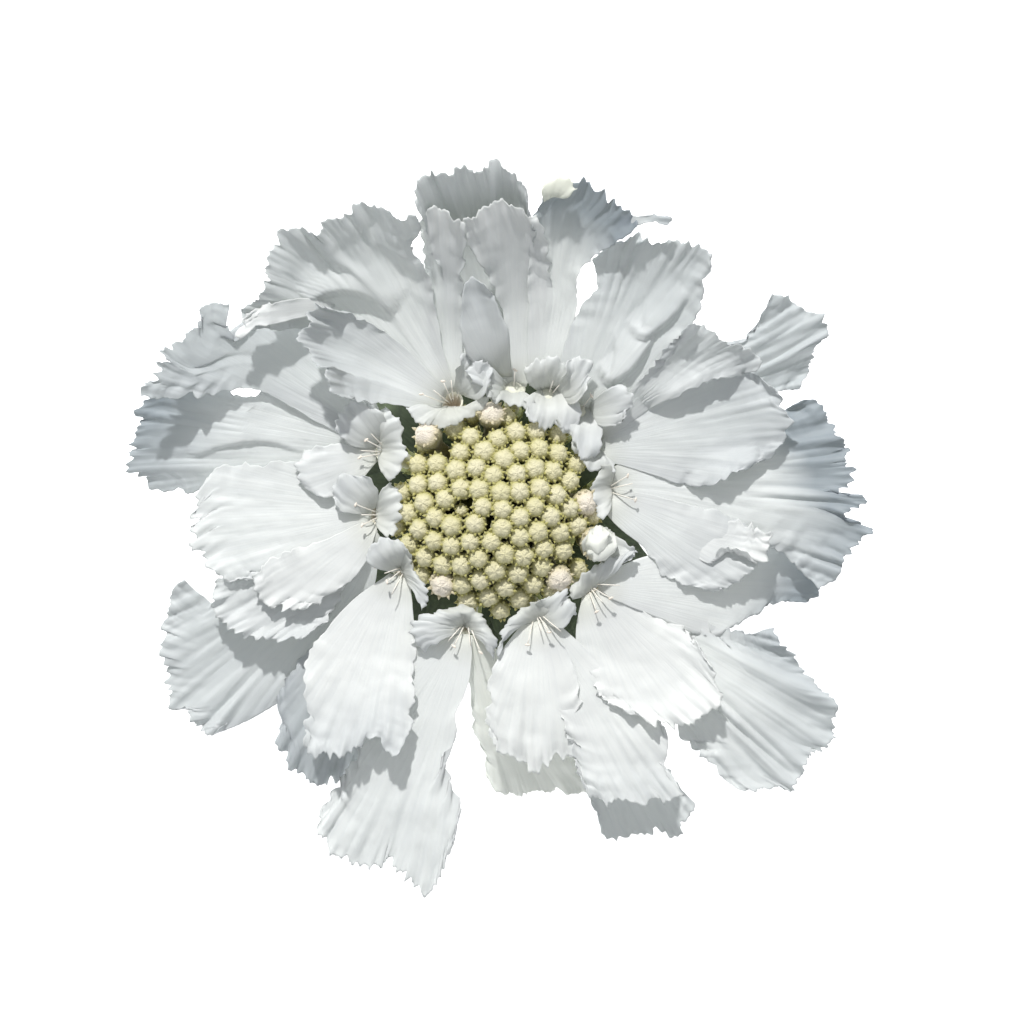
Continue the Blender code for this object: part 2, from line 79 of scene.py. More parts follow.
# Share of the way from foot to mouth, and radius, of the tube's and the calyx's rings.
TUBE = ((0, 0.6), (0.3, 0.68), (0.6, 0.8), (0.85, 0.95), (0.95, 1.05), (1, 1.15), (1.01, 1.08))
OPEN_END = ((0.97, 0.88), (0.88, 0.72), (0.72, 0.6), (0.66, 0.3))
CLOSED_END = ((1.03, 0.88), (1.05, 0.72), (1.06, 0.6), (1.065, 0.3))
TUBE_SHADE = np.array((0, 0, 0, 0, 0, 0, 0.1, 0.5, 0.9, 1, 1))  # of each ring of an open tube
CALYX = ((0, 0.45), (0.08, 0.85), (0.2, 1), (0.34, 1.12), (0.38, 1.06), (0.36, 0.7))
CALYX_BRISTLES, CALYX_BRISTLE = 8, (0.09, 0.07, 0.03)  # number, radii from foot to tip
STAMENS = (5, 1, 2, 1, 0, 3, 4, 4, 5, 4, 3, 5)  # of each ray floret
OPEN_FROM = 3  # a floret with at least this many stamens has an open tube
STAMEN_SUNK = 2.2  # how far a stamen's foot lies below the lobes' feet
STAMEN_REACH, STAMEN_RISE, STAMEN_SPACING = 2.6, 3.2, 0.55
FILAMENT_RADII, ANTHER_RADIUS = (0.075, 0.05), 0.13
ANTHER_LINE = (0.5, 0.2, 0.15)  # from end to end: aside, outwards and up

# Disc of buds.
BUD_COUNT = 76
LOW_BUDS = 12  # more buds at the rim, low between the tubes
OPENED_BUD = 73  # the half-open floret stands in this bud's place
RIM_BUD_FIRST = 54  # buds from this one on are separate pieces
BUD_SPREAD = 1.1  # distance of the first buds from the axis; later ones go out with the root of their number
BUD_RADIUS = 1.13
BUD_LEAN = 0.2  # share of its distance from the axis that a bud leans out over its foot
BUD_TURN = 2.4  # from one bud to the next, in radians
BUD_BRISTLES, BUD_BRISTLE = 11, (0.2, 0.15, 0.03)  # number, radii from foot to tip
DISC_TOP = 18.4
DISC_DROP = 0.046  # fall of the bud tops with the square of the distance
DISC_CENTRE = np.array((-0.5, -0.1, 0))
CREAM_BUDS = ((-7.7, 8.0), (-0.8, 10.2), (8.9, 0.7), (6.1, -7.1), (-5.9, -7.6))  # larger, at the rim
CREAM_RADIUS, CREAM_RISE = 1.35, 0.5
HOLLOW_AT = (-3.3, -0.2)  # a low bud leaves a small dark hollow here
HOLLOW_DEPTH, HOLLOW_SIZE = 1.3, 0.6  # how far that bud lies below the others, and its share of their size
TURN = math.radians(137.508)  # round the axis, from one bud to the next
TURN_START = math.radians(20)
BUD_OUTLINE = (  # radius and distance below the top, in the bud's radius
    (0.02, 0), (0.3, 0.03), (0.56, 0.14), (0.78, 0.33), (0.94, 0.6),
    (1, 0.92), (0.97, 1.22), (0.86, 1.55), (0.7, 1.85), (0.56, 2.2),
)

# Receptacle and stem: distance from the axis and height, bottom to top.
RECEPTACLE = ((1.9, 3.8), (4.6, 4.5), (7.3, 6.3), (8.1, 7.9), (7.2, 9.4), (5, 10.7), (2.4, 11.4), (0, 11.6))
STEM_PROFILE = ((1.3, 0), (1.4, 0.4), (1.4, 2.6), (1.6, 3.5))
STEM_RIBS, STEM_RIB_DEPTH = 10, 0.035

# Bracts.
BRACT_COUNT = 10
BRACT_FIRST = math.radians(14)
BRACT_SPINE = ((2.3, 3), (5.5, 3.6), (9.5, 4), (13.6, 2.9), (17.2, 0.3))  # distance, height
BRACT_WIDTHS = (1.25, 3.6, 6.6, 6.8, 0.6)
BRACT_THICKNESS = 0.3
BRACT_ROWS, BRACT_COLUMNS = 50, 29
MARGIN_RISE, RIB_RISE, RIB_WIDTH = 0.55, 0.16, 0.18  # of the upturned margins and the midrib
BRACT_LIFT, WHORL_LIFT = 0.3, 0.9  # of every second bract, and of the upper whorl

# Half-open floret between the disc and two rays.
HALF_OPEN_AT = (9.9, -3.3)
HALF_OPEN_HEIGHT = 15.2
HALF_OPEN_RADIUS = 1.615
HALF_OPEN_FOOT = (8.7, 9.6)  # distance from the axis, height
HALF_OPEN_SEED = 91  # its bud's number for the noise; its petals have the next ones

# Floor, light and camera, in metres and degrees.
FLOOR_HALF = 1.5
SUN_BEARING, SUN_RISE, SUN_SIZE = 102, 42, 2.5  # from +X, above the floor, across
SUN_POWER, SKY_POWER, FLOOR_GLOW = 3.3, 0.52, 0.95
CAMERA_HEIGHT, CAMERA_ASIDE = 1.012, (0.0012, -0.0001)
CAMERA_AWAY, VIEW_ACROSS = 1.0, 0.1024  # the view is this wide at this distance from the camera
SENSOR = 36


@dataclass
class Lobe:
    """One lobe of a ray floret: its margins from throat to tip and from left to right, and its form."""

    left: list
    tip: list
    right: list
    mid: float  # heights at its middle and its tip
    end: float
    start: float = THROAT_HEIGHT
    cup: float = 0  # raises both margins towards the tip
    tilt: float = 0  # raises the right margin and lowers the left
    bend: float = 0  # lowers its tip
    pleats: int = 4
    depth: float = 0.12  # height of its wide pleats
    crimp: float = 0.25  # height of its narrow ridges
    teeth: float = 0.25
    ruffle: float = 0.3  # height of the frills at its margins
    roll: tuple = (0, 0, 0)  # curls its left, tip and right margins up
    cream: float = 0  # cream is how far its own colour goes to cream; the next field is how much painted shade greys it
    painted_shade: float = 0
    painted_tip_shade: float = 0  # how much more painted shade greys its tip; below 0 its tip goes cream instead
    lean: float = 0  # how much more of the tip's painted shade lies to the right than to the left
    folds: tuple = ()  # lines that it folds over at, each with a height


# Ray florets, anticlockwise from the upper left: the throat's place and the lobes.
RAYS = {}
RAYS["ray_floret_01"] = (-4.8, 10.9), [
    Lobe([(-6.2, 11.2), (-13, 15.6), (-19, 17.8), (-23, 18.1), (-25.2, 18)],
         [(-25.6, 19.9), (-24.2, 21.2), (-23.1, 22.9), (-23.4, 24.1), (-22.8, 25.3), (-22, 26.4),
          (-21.5, 27.7), (-20, 28), (-17.9, 27.2), (-17.5, 28.4), (-15.8, 28.8), (-14.5, 30.1),
          (-13.3, 30.6), (-12.2, 30.1), (-11, 29.6), (-10, 29.1)],
         [(-4.4, 12.1), (-5.6, 16), (-6.4, 20.5), (-7.3, 23.8), (-8, 24.9), (-8.7, 25.6), (-8.7, 26.6),
          (-8, 27.5), (-8.3, 29.3)],
         15.2, 20, cup=0.4, tilt=1.6, pleats=9, depth=0.35, crimp=0.7, teeth=0.3, ruffle=0.4, painted_shade=0.32,
         painted_tip_shade=0.1, folds=(([(-19.5, 20.6), (-16.5, 21.8), (-13.5, 21.5), (-10.6, 19.6)], 1.3),)),
    Lobe([(-6, 10), (-8.6, 10.3), (-11.2, 10.8), (-13.5, 10.8), (-16.2, 11.5)],
         [(-17, 11.8), (-17.2, 13.4), (-16.6, 14.4), (-17.8, 14.2), (-19, 15.2), (-19.2, 16.2),
          (-20.2, 16.8), (-19.6, 18), (-18.6, 18.6), (-19, 19.6), (-18.2, 20.5)],
         [(-5.2, 12), (-7.4, 14.2), (-10, 16.8), (-13.4, 19), (-16.8, 20)],
         15.2, 17.8, cup=-0.2, tilt=-0.5, pleats=5, depth=0.14, crimp=0.1, ruffle=0.35, roll=(0, 1.5, 0.3),
         painted_shade=0.42),
    Lobe([(-5.8, 12), (-7, 17), (-7.4, 22), (-7.5, 25.2), (-7.6, 27), (-8.3, 28.6)],
         [(-7.6, 29.3), (-6.4, 30), (-5.2, 29.4), (-4.3, 28.8)],
         [(-3.8, 12), (-3.7, 17), (-3.7, 22), (-3.4, 26), (-3.4, 28.4)],
         15.6, 21.2, cup=-0.4, depth=0.2, crimp=0.35, ruffle=0.4, painted_shade=0.32, painted_tip_shade=-0.25),
    Lobe([(-3.6, 10.4), (-2, 11.2), (-1, 11.5)],
         [(-1.9, 9.9), (-3.8, 8.7), (-5.5, 8), (-7.2, 8.2), (-8.4, 8.9)],
         [(-6.2, 10.4), (-8, 10.6), (-9.4, 10.3)], 14.9, 14.9, cup=0.2, pleats=5, ruffle=0.2, cream=0.08),
    Lobe([(-4.6, 12), (-4.4, 13.6), (-4, 15.4)], [(-2.8, 16.2), (-1.6, 15)],
         [(-3.4, 11.4), (-1.8, 11), (-0.8, 12.6)], 15.4, 16, depth=0.2, teeth=0.3, ruffle=0.6),
    Lobe([(-16.6, 20.2), (-19.2, 19.4), (-22, 18.9), (-24, 18.2), (-25.8, 17)],
         [(-26.2, 17.9), (-25.6, 18.6)], [(-16.4, 20.6), (-19.4, 21.2), (-22.6, 20.8), (-25.2, 19.6)],
         17.9, 18.9, start=15.6, tilt=-0.2, pleats=3, depth=0.15, crimp=0.2, ruffle=0.4, painted_shade=0.2,
         painted_tip_shade=-0.2),
]
RAYS["ray_floret_02"] = (1.4, 12.2), [
    Lobe([(0.2, 12.4), (-2.8, 14.6), (-4.8, 18.5), (-5.6, 22), (-6.4, 25.5), (-7.6, 28.5), (-8.3, 30.2)],
         [(-8.3, 31.9), (-7.8, 32.9), (-6.7, 33.8), (-6, 33.4), (-5, 33), (-4.2, 33.9), (-3.4, 34),
          (-2.7, 33.3), (-1.6, 33.3), (-0.9, 34.2), (-0.3, 34.5), (0.3, 33.7), (1.6, 33.4), (2, 32.7),
          (2.6, 31.9)], [(2, 12.6), (3.2, 20), (3.6, 26), (2.8, 30.6)],
         14.8, 22.3, cup=0.1, pleats=7, depth=0.6, crimp=0.9, teeth=0.3, ruffle=0.6, painted_shade=0.42),
    Lobe([(0.7, 12.6), (0.5, 16), (0.2, 20), (-1.2, 23.6), (-3, 26.2), (-3.9, 28.2)],
         [(-3.4, 28.9), (-2.4, 29.3), (-1.3, 30.3), (0.2, 30.9), (1.5, 30.3), (2.8, 29.3)],
         [(2.6, 12.4), (4.2, 16), (5, 20), (5, 24), (4.6, 27), (3.6, 29.4)],
         15.6, 21.4, cup=-0.5, pleats=5, depth=0.2, crimp=0.35, teeth=0.3, painted_shade=0.25, painted_tip_shade=-0.2),
    Lobe([(-0.6, 13.4), (-3.2, 15.4), (-3.9, 18), (-3.9, 20.5), (-3.5, 22.6)], [(-2.9, 23.3), (-2.2, 22.9)],
         [(1.2, 13.4), (1, 16), (0.7, 18.2), (0.1, 19.8), (-0.6, 21.2), (-1.5, 22.4)],
         17.4, 18, cup=0.4, pleats=2, depth=0.1, crimp=0.1, teeth=0.1, ruffle=0.2, roll=(0, 0.5, 1.1),
         painted_shade=0.45),
    Lobe([(2.2, 12), (3.2, 11.4), (3.3, 9.7)], [(2.5, 9.9), (1.4, 10.5), (0.4, 10.9)],
         [(0.4, 12), (-0.6, 11.8), (-0.8, 11)], 15, 15.2, pleats=3),
    Lobe([(0.7, 12.6), (-0.4, 14), (-2.4, 15.8)], [(-3.2, 14), (-1.8, 12.2)],
         [(0.6, 11.4), (-0.4, 11), (-1.2, 11.4)], 15.6, 16, pleats=3),
]
RAYS["ray_floret_03"] = (4.9, 11.6), [
    Lobe([(2.9, 12.5), (2.7, 17), (2.9, 22), (3, 27), (3.5, 30), (4.2, 30.8), (4.3, 32)],
         [(5, 32.6), (6, 32.5), (7.4, 32.4), (8.2, 32.6), (9.2, 32.2), (10, 31.5), (11.4, 30.9),
          (12.3, 30.2), (13.2, 29.2)],
         [(6.2, 12.2), (7.2, 16), (7.5, 19.3), (7.7, 21.5), (7.8, 23.5), (8.7, 24.8), (10.6, 26), (12, 26.9),
          (13.6, 28.2)],
         16.2, 21.2, cup=0.3, pleats=5, depth=0.3, crimp=0.5, teeth=0.3, ruffle=0.4, painted_shade=0.22, painted_tip_shade=0.95),
    Lobe([(6.2, 12.3), (7.8, 10.8), (7.4, 8.1)], [(6, 8.3), (5, 8), (4.2, 8.2), (3.2, 8.9)],
         [(4, 12.2), (2.7, 11.2), (2.5, 9.8)], 14.9, 14.9, pleats=6, depth=0.3, ruffle=0.35, cream=0.1),
    Lobe([(4.4, 30.6), (4.1, 31.4), (4.2, 32.1)], [(4.8, 32.8), (5.6, 32.7), (6.6, 32.8), (7.4, 32.5)],
         [(5.4, 31.2), (6.6, 31), (7.7, 31.9)],
         22, 22.1, start=21.2, pleats=3, depth=0.15, crimp=0.1, ruffle=0.2, cream=0.6),
    Lobe([(11.6, 29.6), (14.2, 29.2), (16.6, 29.3)], [(16.9, 28.9)],
         [(12, 28.2), (14.2, 28.4), (16.7, 28.4)],
         21.3, 21.4, start=20, pleats=2, depth=0.1, teeth=0.15, ruffle=0.2, painted_shade=0.7),
    Lobe([(3.7, 12), (2.7, 13), (2.5, 14.4)], [(4.6, 15.2), (6, 14.8)],
         [(5.6, 12.3), (6.8, 13), (7.4, 13.6)], 15.5, 15.9, depth=0.25, ruffle=0.4, cream=0.12),
    Lobe([(5.6, 12), (6.2, 13.2), (6.8, 15)], [(8, 15.6), (8.8, 14.6)], [(6, 11), (7.4, 10.6), (8.6, 12)],
         15.9, 16.4, pleats=3, depth=0.25, ruffle=0.5, cream=0.05),
]
RAYS["ray_floret_04"] = (8, 9.9), [
    Lobe([(7, 10.6), (5.9, 14), (6.6, 17.3), (7.6, 19.2), (8.3, 20.6), (9.3, 22.2), (9.6, 23.6), (9.2, 24.9),
          (10.2, 26), (11.5, 26.8)],
         [(12.6, 26.9), (13.7, 27.5), (14.2, 26.8), (17, 26.5), (19, 26.5), (20.6, 26.1)],
         [(9, 10), (12.6, 11.4), (17, 15.4), (19.2, 18.5), (19.9, 20.2), (20.3, 23), (21, 24.2),
          (21.1, 25.6)],
         15.8, 18.6, tilt=0.7, pleats=7, depth=0.3, crimp=0.5, ruffle=0.4, roll=(0, 0.2, 0.2), painted_shade=0.5,
         folds=(([(12.4, 18.9), (14.2, 17.4), (16, 18.4), (19, 21.6)], 0.9),
                ([(9.6, 14.6), (11, 12.9), (12.6, 13.8), (14.2, 15.8), (15.4, 17.6)], 1.2))),
    Lobe([(9.4, 10.2), (10.2, 8), (9.4, 5.3)], [(8.2, 5.3), (7.6, 6.3), (6.8, 7.5)],
         [(7, 10.8), (6, 9.8), (5.9, 8.5)], 14.8, 14.8, depth=0.15, ruffle=0.35),
    Lobe([(8.8, 10.6), (10.4, 11.8), (12.2, 12.6)], [(13.2, 11.6), (13, 10.4)],
         [(8.8, 9), (10.8, 8.4), (12.4, 9.2)], 15.4, 15.9, depth=0.2, ruffle=0.5),
]
RAYS["ray_floret_05"] = (9.4, 6.6), [
    Lobe([(9.6, 7.6), (13, 11.8), (16, 15.4), (18.6, 18.5)],
         [(19.3, 18.4), (20.3, 18.6), (21.4, 17.7), (22.6, 17), (24, 16.4), (25.4, 15.6), (25.9, 14.8)],
         [(10.4, 6.9), (14.5, 9.9), (19, 12.2), (22, 13.2), (25.6, 13.9)],
         14.8, 16.6, tilt=-1.9, pleats=7, depth=0.22, crimp=0.45, teeth=0.3, ruffle=0.4, painted_shade=0.4,
         folds=(([(15.2, 9.6), (18.4, 11.5), (21.5, 12.7), (24.4, 13.2)], 2),)),
    Lobe([(10, 7.6), (15, 10.9), (20, 13), (25, 13.8), (27.3, 12.3)],
         [(28.2, 10.9), (28.9, 9.6), (28.8, 8.2), (28, 6.4), (27, 5.4)],
         [(9.6, 4.9), (12, 4.6), (15.5, 3.5), (18, 2.8), (20.2, 2.5), (22.2, 3.2), (24.4, 4.2), (26.2, 5)],
         13.6, 14.1, tilt=-0.3, pleats=6, depth=0.3, crimp=0.3, teeth=0.3, ruffle=0.5, painted_shade=0.5,
         folds=(([(18.4, 2.4), (20.4, 2), (22.6, 2.8), (24.8, 3.8), (26.6, 4.9)], 1.7),)),
    Lobe([(9.8, 7.7), (16, 13.6), (22, 16.4), (24.6, 17.3), (26.2, 19.6), (26.9, 21.2)],
         [(27.4, 21.9), (28.2, 21.3), (29, 21.3), (30, 20.6), (31.2, 19.9), (32.2, 19), (32.8, 17.9),
          (31.9, 17.2), (32, 16), (31.3, 15), (30.6, 13.6)],
         [(10.4, 6.3), (17, 10.2), (24, 11.6), (27.6, 12), (30, 12.2)],
         12.8, 12, tilt=-1.3, pleats=5, depth=1.1, crimp=0.4, teeth=0.35, painted_shade=0.6),
    Lobe([(8.6, 7.2), (7.6, 7.4), (7.1, 6.8)], [(7.7, 5.6), (8.2, 4.8), (9, 4.3), (9.8, 4.2)],
         [(10.4, 5.8), (11.2, 4.9), (11.6, 4)], 14.5, 14.5),
]
RAYS["ray_floret_06"] = (10.9, 2.2), [
    Lobe([(10.9, 4.2), (14, 5.6), (18, 6), (23, 7.4), (27.4, 9.2), (30, 11)],
         [(31.4, 11.2), (32, 10.6), (32.5, 9.5), (33.2, 8.6), (33.1, 7.6), (34.2, 7), (35.3, 6.3),
          (34.6, 5.6), (34.2, 4.9), (35.3, 4.5), (34.9, 3.2), (34.2, 2), (35.6, 1.5), (36.4, 0.8),
          (35.2, 0.3), (34.4, -0.4), (35.6, -0.9), (36.2, -1.4), (37.2, -2.2), (35.8, -3), (35.3, -4),
          (34.2, -5.1), (33.6, -6.6), (32.6, -7.4)],
         [(11.3, 1.2), (18, -1), (23, -2.6), (26, -3.2), (28.6, -4.6), (31.9, -7.9)],
         13.1, 14.8, cup=-0.9, tilt=0.3, bend=2.2, pleats=9, depth=0.45, crimp=0.65, teeth=0.35, ruffle=0.4,
         painted_shade=0.3, painted_tip_shade=0.95, lean=-0.6),
    Lobe([(11.5, 2.3), (18, 0.9), (24, -0.9), (26.8, -2.8)],
         [(26.6, -4), (26, -5.4), (24.6, -6.2), (23.8, -7.2), (22.6, -7.8)],
         [(10.2, 0.2), (11.6, -1.4), (13, -2.6), (14.5, -4), (16, -6), (18.2, -7.4), (21.2, -8)],
         13.3, 13, cup=0.1, pleats=5, depth=0.15, crimp=0.15, ruffle=0.35, painted_shade=0.3),
    Lobe([(18.2, -1.6), (21, -1.2), (24, -1.2), (27, -2)], [(27.2, -3), (26.4, -4.6), (25.6, -5)],
         [(18.6, -2.2), (19.2, -3.8), (20.1, -5), (21.3, -5), (21.7, -3.9), (23.2, -3.6), (24.6, -4)],
         13.4, 13.7, start=12.9, tilt=0.3, pleats=5, depth=0.25, teeth=0.4, ruffle=0.5, painted_shade=0.25,
         painted_tip_shade=-0.2),
    Lobe([(11.2, 1), (10.9, -0.2), (10.2, -0.9)], [(9.5, 0.6), (9.4, 2), (9.7, 3.4)],
         [(11.4, 3.6), (11, 4.6), (10, 4.6)], 14.6, 14.6, cup=0.2, pleats=3, cream=0.05),
]
RAYS["ray_floret_07"] = (9, -7.6), [
    Lobe([(9.5, -6.4), (15, -4.4), (22, -2.6), (28, -3.2), (31.4, -6.6)], [(32.2, -7.8), (31.6, -8.6)],
         [(10, -8.3), (16.2, -11), (19, -12.2), (21.8, -12.4), (23.6, -11.6), (25.6, -10.4), (28.4, -9.1),
          (30.6, -9.2)], 11.9, 8.9, pleats=7, depth=0.15, ruffle=0.25, painted_shade=0.22, painted_tip_shade=0.8),
    Lobe([(9.9, -7.8), (15, -10.3), (19, -12.3), (20.4, -14.6)],
         [(21.2, -16), (21.4, -17.4), (22.2, -18.6), (21.6, -19.8), (20.2, -20.6), (18.6, -21.2),
          (17.4, -21.6), (16.2, -21.5), (15.2, -21.2), (14, -20.3)],
         [(8.2, -8.6), (7.6, -12), (8.6, -16), (10.4, -18.6), (12.6, -20)],
         13.2, 13.9, tilt=0.1, pleats=6, teeth=0.35, ruffle=0.4),
    Lobe([(10.2, -7.4), (15, -8.8), (20, -10.8), (23, -12), (25.5, -12.1), (27.6, -11.6)],
         [(27.8, -13.3), (29, -14), (30.4, -15.8), (31.7, -17.4), (33.2, -19.1), (33.6, -20.2),
          (33.4, -21.8), (33.2, -23), (32.2, -24.2), (30.9, -25), (30.3, -26.4), (29.4, -28), (28.2, -27.5),
          (26.8, -27.8), (25.2, -27.9)],
         [(8.8, -8.8), (11, -15), (14.5, -20.3), (17.6, -20.9), (18, -23), (19.3, -23.7), (21, -25),
          (22.2, -26.5), (24, -27.9)],
         11.8, 11.8, cup=0.3, bend=1, pleats=10, depth=0.3, crimp=0.8, teeth=0.35, painted_shade=0.25, painted_tip_shade=0.3,
         lean=-0.7),
    Lobe([(8.2, -8.6), (7.2, -8.8), (6.9, -7.9)], [(7.6, -6.9), (8.8, -5.9), (10.2, -5.3)],
         [(10.2, -7.2), (11.8, -5.9), (13.4, -4.1)], 14.8, 14.8, ruffle=0.25),
]
RAYS["ray_floret_08"] = (3.7, -10.4), [
    Lobe([(4.9, -10.8), (7.2, -15), (8, -19), (8.2, -22.6)],
         [(8, -23.8), (6.8, -24.4), (5.4, -24.8), (4.4, -25.6), (3.2, -25.9), (1.6, -25), (0.2, -24.2)],
         [(2.5, -10.9), (0.3, -13.8), (-1.3, -18.5), (-1.1, -22.4)],
         13.7, 13.6, tilt=0.4, depth=0.1, teeth=0.4, ruffle=0.45, roll=(0, -0.6, 0)),
    Lobe([(5, -10.5), (9.6, -14.6), (13.8, -18), (16.2, -21.6), (15.4, -23.9), (16.8, -26.2)],
         [(17.8, -27.4), (18.3, -28.6), (17.2, -29), (15.6, -29), (13.6, -29.2), (11.6, -29.4),
          (10.4, -29.1), (9, -28.4)], [(3.4, -11.6), (5, -17), (6.6, -22), (8.2, -27.2)],
         13, 12.8, tilt=0.5, pleats=7, crimp=0.35, teeth=0.4, ruffle=0.5, painted_shade=0.05, painted_tip_shade=0.2),
    Lobe([(5, -10.7), (10.2, -17.8), (14.2, -22.2), (15.8, -24.6), (19.6, -29.4)],
         [(18.9, -30.8), (18.1, -32.4), (17.1, -32.6), (16.2, -31.8), (15.3, -31.7), (14.5, -32.5),
          (12.6, -32.7), (11.4, -33), (10.2, -32.4)],
         [(3.5, -11.6), (6.4, -20), (8.6, -26.6), (9.6, -29), (10.3, -31)],
         9, 6.6, pleats=6, depth=0.4, crimp=0.5, teeth=0.3, ruffle=0.25, painted_shade=0.35),
    Lobe([(2.6, -11.2), (1, -12.4), (-0.2, -14.6)], [(0, -12.4), (1.3, -10.4), (3, -9.2)],
         [(4.2, -10.9), (4.8, -10.2), (4.8, -8.7)], 14.9, 14.8, cup=-0.5, pleats=3, depth=0.1, ruffle=0.2),
    Lobe([(3, -9.9), (3.4, -9.2), (4.4, -8.7)], [(5.6, -8.3), (6.8, -8)],
         [(4.6, -11.2), (6.2, -11.8), (7.6, -10.4)], 14.8, 14.6, pleats=3, depth=0.1),
]
RAYS["ray_floret_09"] = (-3.4, -11.3), [
    Lobe([(-2.7, -12.4), (-2.9, -15.4), (-3.3, -17.6), (-4.3, -20), (-4.6, -22.9), (-5.6, -24.2),
          (-5.1, -26.4), (-4.1, -29), (-4.4, -31.6)],
         [(-4.9, -34), (-5.8, -35.8), (-6.5, -37), (-7.6, -38.4), (-8.4, -37.6), (-9.4, -36.6),
          (-10.2, -35.6), (-11.3, -34.4), (-12, -35.5), (-13.2, -35.3), (-14.5, -35.2), (-15.8, -34.7),
          (-16.8, -33.9), (-17.6, -33.1), (-18.3, -31.7), (-17.9, -30.9)],
         [(-4.6, -12.2), (-9.4, -14), (-12, -17.6), (-13, -22), (-15, -25.5), (-16.6, -27.8), (-18.1, -30)],
         13, 11.8, cup=0.2, tilt=-1.6, pleats=14, depth=0.2, crimp=0.35, teeth=0.35, ruffle=0.35, painted_shade=0.24),
    Lobe([(-2.2, -12.2), (0.8, -15), (3, -19), (6.4, -23.6), (9.2, -26.4)],
         [(9.4, -27.9), (8, -28.1), (5.5, -28), (3.4, -28.3), (1, -28.6), (-0.4, -28.3)],
         [(-3.2, -12.6), (-3.4, -16), (-2.8, -18.6), (-2.6, -22), (-1.6, -24.2), (-1.5, -26.6)],
         11.2, 7.2, pleats=6, depth=0.4, crimp=0.4, ruffle=0.4, cream=0.25),
    Lobe([(-4, -12.2), (-6, -13), (-7.6, -14.2)], [(-8.8, -12.6), (-8.6, -10.9), (-7, -10.2), (-5.2, -9.8)],
         [(-3, -10.9), (-3, -10), (-3.4, -9.3)], 15.2, 14.7, cup=-0.6, pleats=3, depth=0.1, ruffle=0.2),
    Lobe([(-4, -10.9), (-4.2, -10), (-3.9, -9.3)], [(-2.4, -9.9), (-1.2, -11.2), (-0.4, -12.8)],
         [(-2.7, -12.3), (-1.6, -13.4), (-0.6, -15)], 15.1, 14.7, cup=-0.6, pleats=3, depth=0.1, ruffle=0.2),
]
RAYS["ray_floret_10"] = (-9.7, -5.7), [
    Lobe([(-9, -6.8), (-8.5, -12), (-8.4, -17), (-9, -21.3), (-10.1, -24.2)],
         [(-11.2, -23.7), (-12.4, -22.8), (-13.6, -22.9), (-15, -23.6), (-16.5, -24.2), (-17.5, -24.6),
          (-18.6, -24.5)],
         [(-11, -6.2), (-14.8, -9), (-17.9, -12.4), (-19.4, -15), (-19.4, -19), (-19.6, -23.4)],
         13.7, 15.2, tilt=-0.4, crimp=0.2, teeth=0.4, ruffle=0.35, painted_shade=0.06, painted_tip_shade=0.35),
    Lobe([(-9.9, -6.8), (-12, -15), (-13, -21), (-12.8, -24.2)],
         [(-14.2, -25.6), (-15.2, -26.1), (-16.2, -26.6), (-17.5, -26.9), (-18.8, -27), (-20.2, -26.4),
          (-21, -25.5), (-21.4, -24.4), (-22.2, -23)],
         [(-11, -6.2), (-17, -11.6), (-21, -16.4), (-22, -18.6), (-21.3, -20.2), (-21.9, -21.4)],
         12.2, 10, pleats=10, depth=0.4, crimp=0.6, teeth=0.4, ruffle=0.4, painted_shade=0.7),
    Lobe([(-9.4, -7), (-8.4, -8.8), (-7.8, -9.9)], [(-7.3, -8.6), (-7.9, -6.6), (-8.8, -4.9)],
         [(-10.2, -5.2), (-9.8, -4.2), (-9.7, -3.5)], 15.2, 15.3, cup=0.2, pleats=3, depth=0.1),
    Lobe([(-8.8, -5.6), (-8.8, -4.6), (-9.2, -3.8)], [(-9.8, -3.2), (-11, -2.6), (-12.2, -2.9)],
         [(-10.8, -6.1), (-12.6, -5.6), (-13.4, -4.4)],
         15.2, 15.5, cup=0.2, pleats=3, depth=0.1, ruffle=0.4),
]
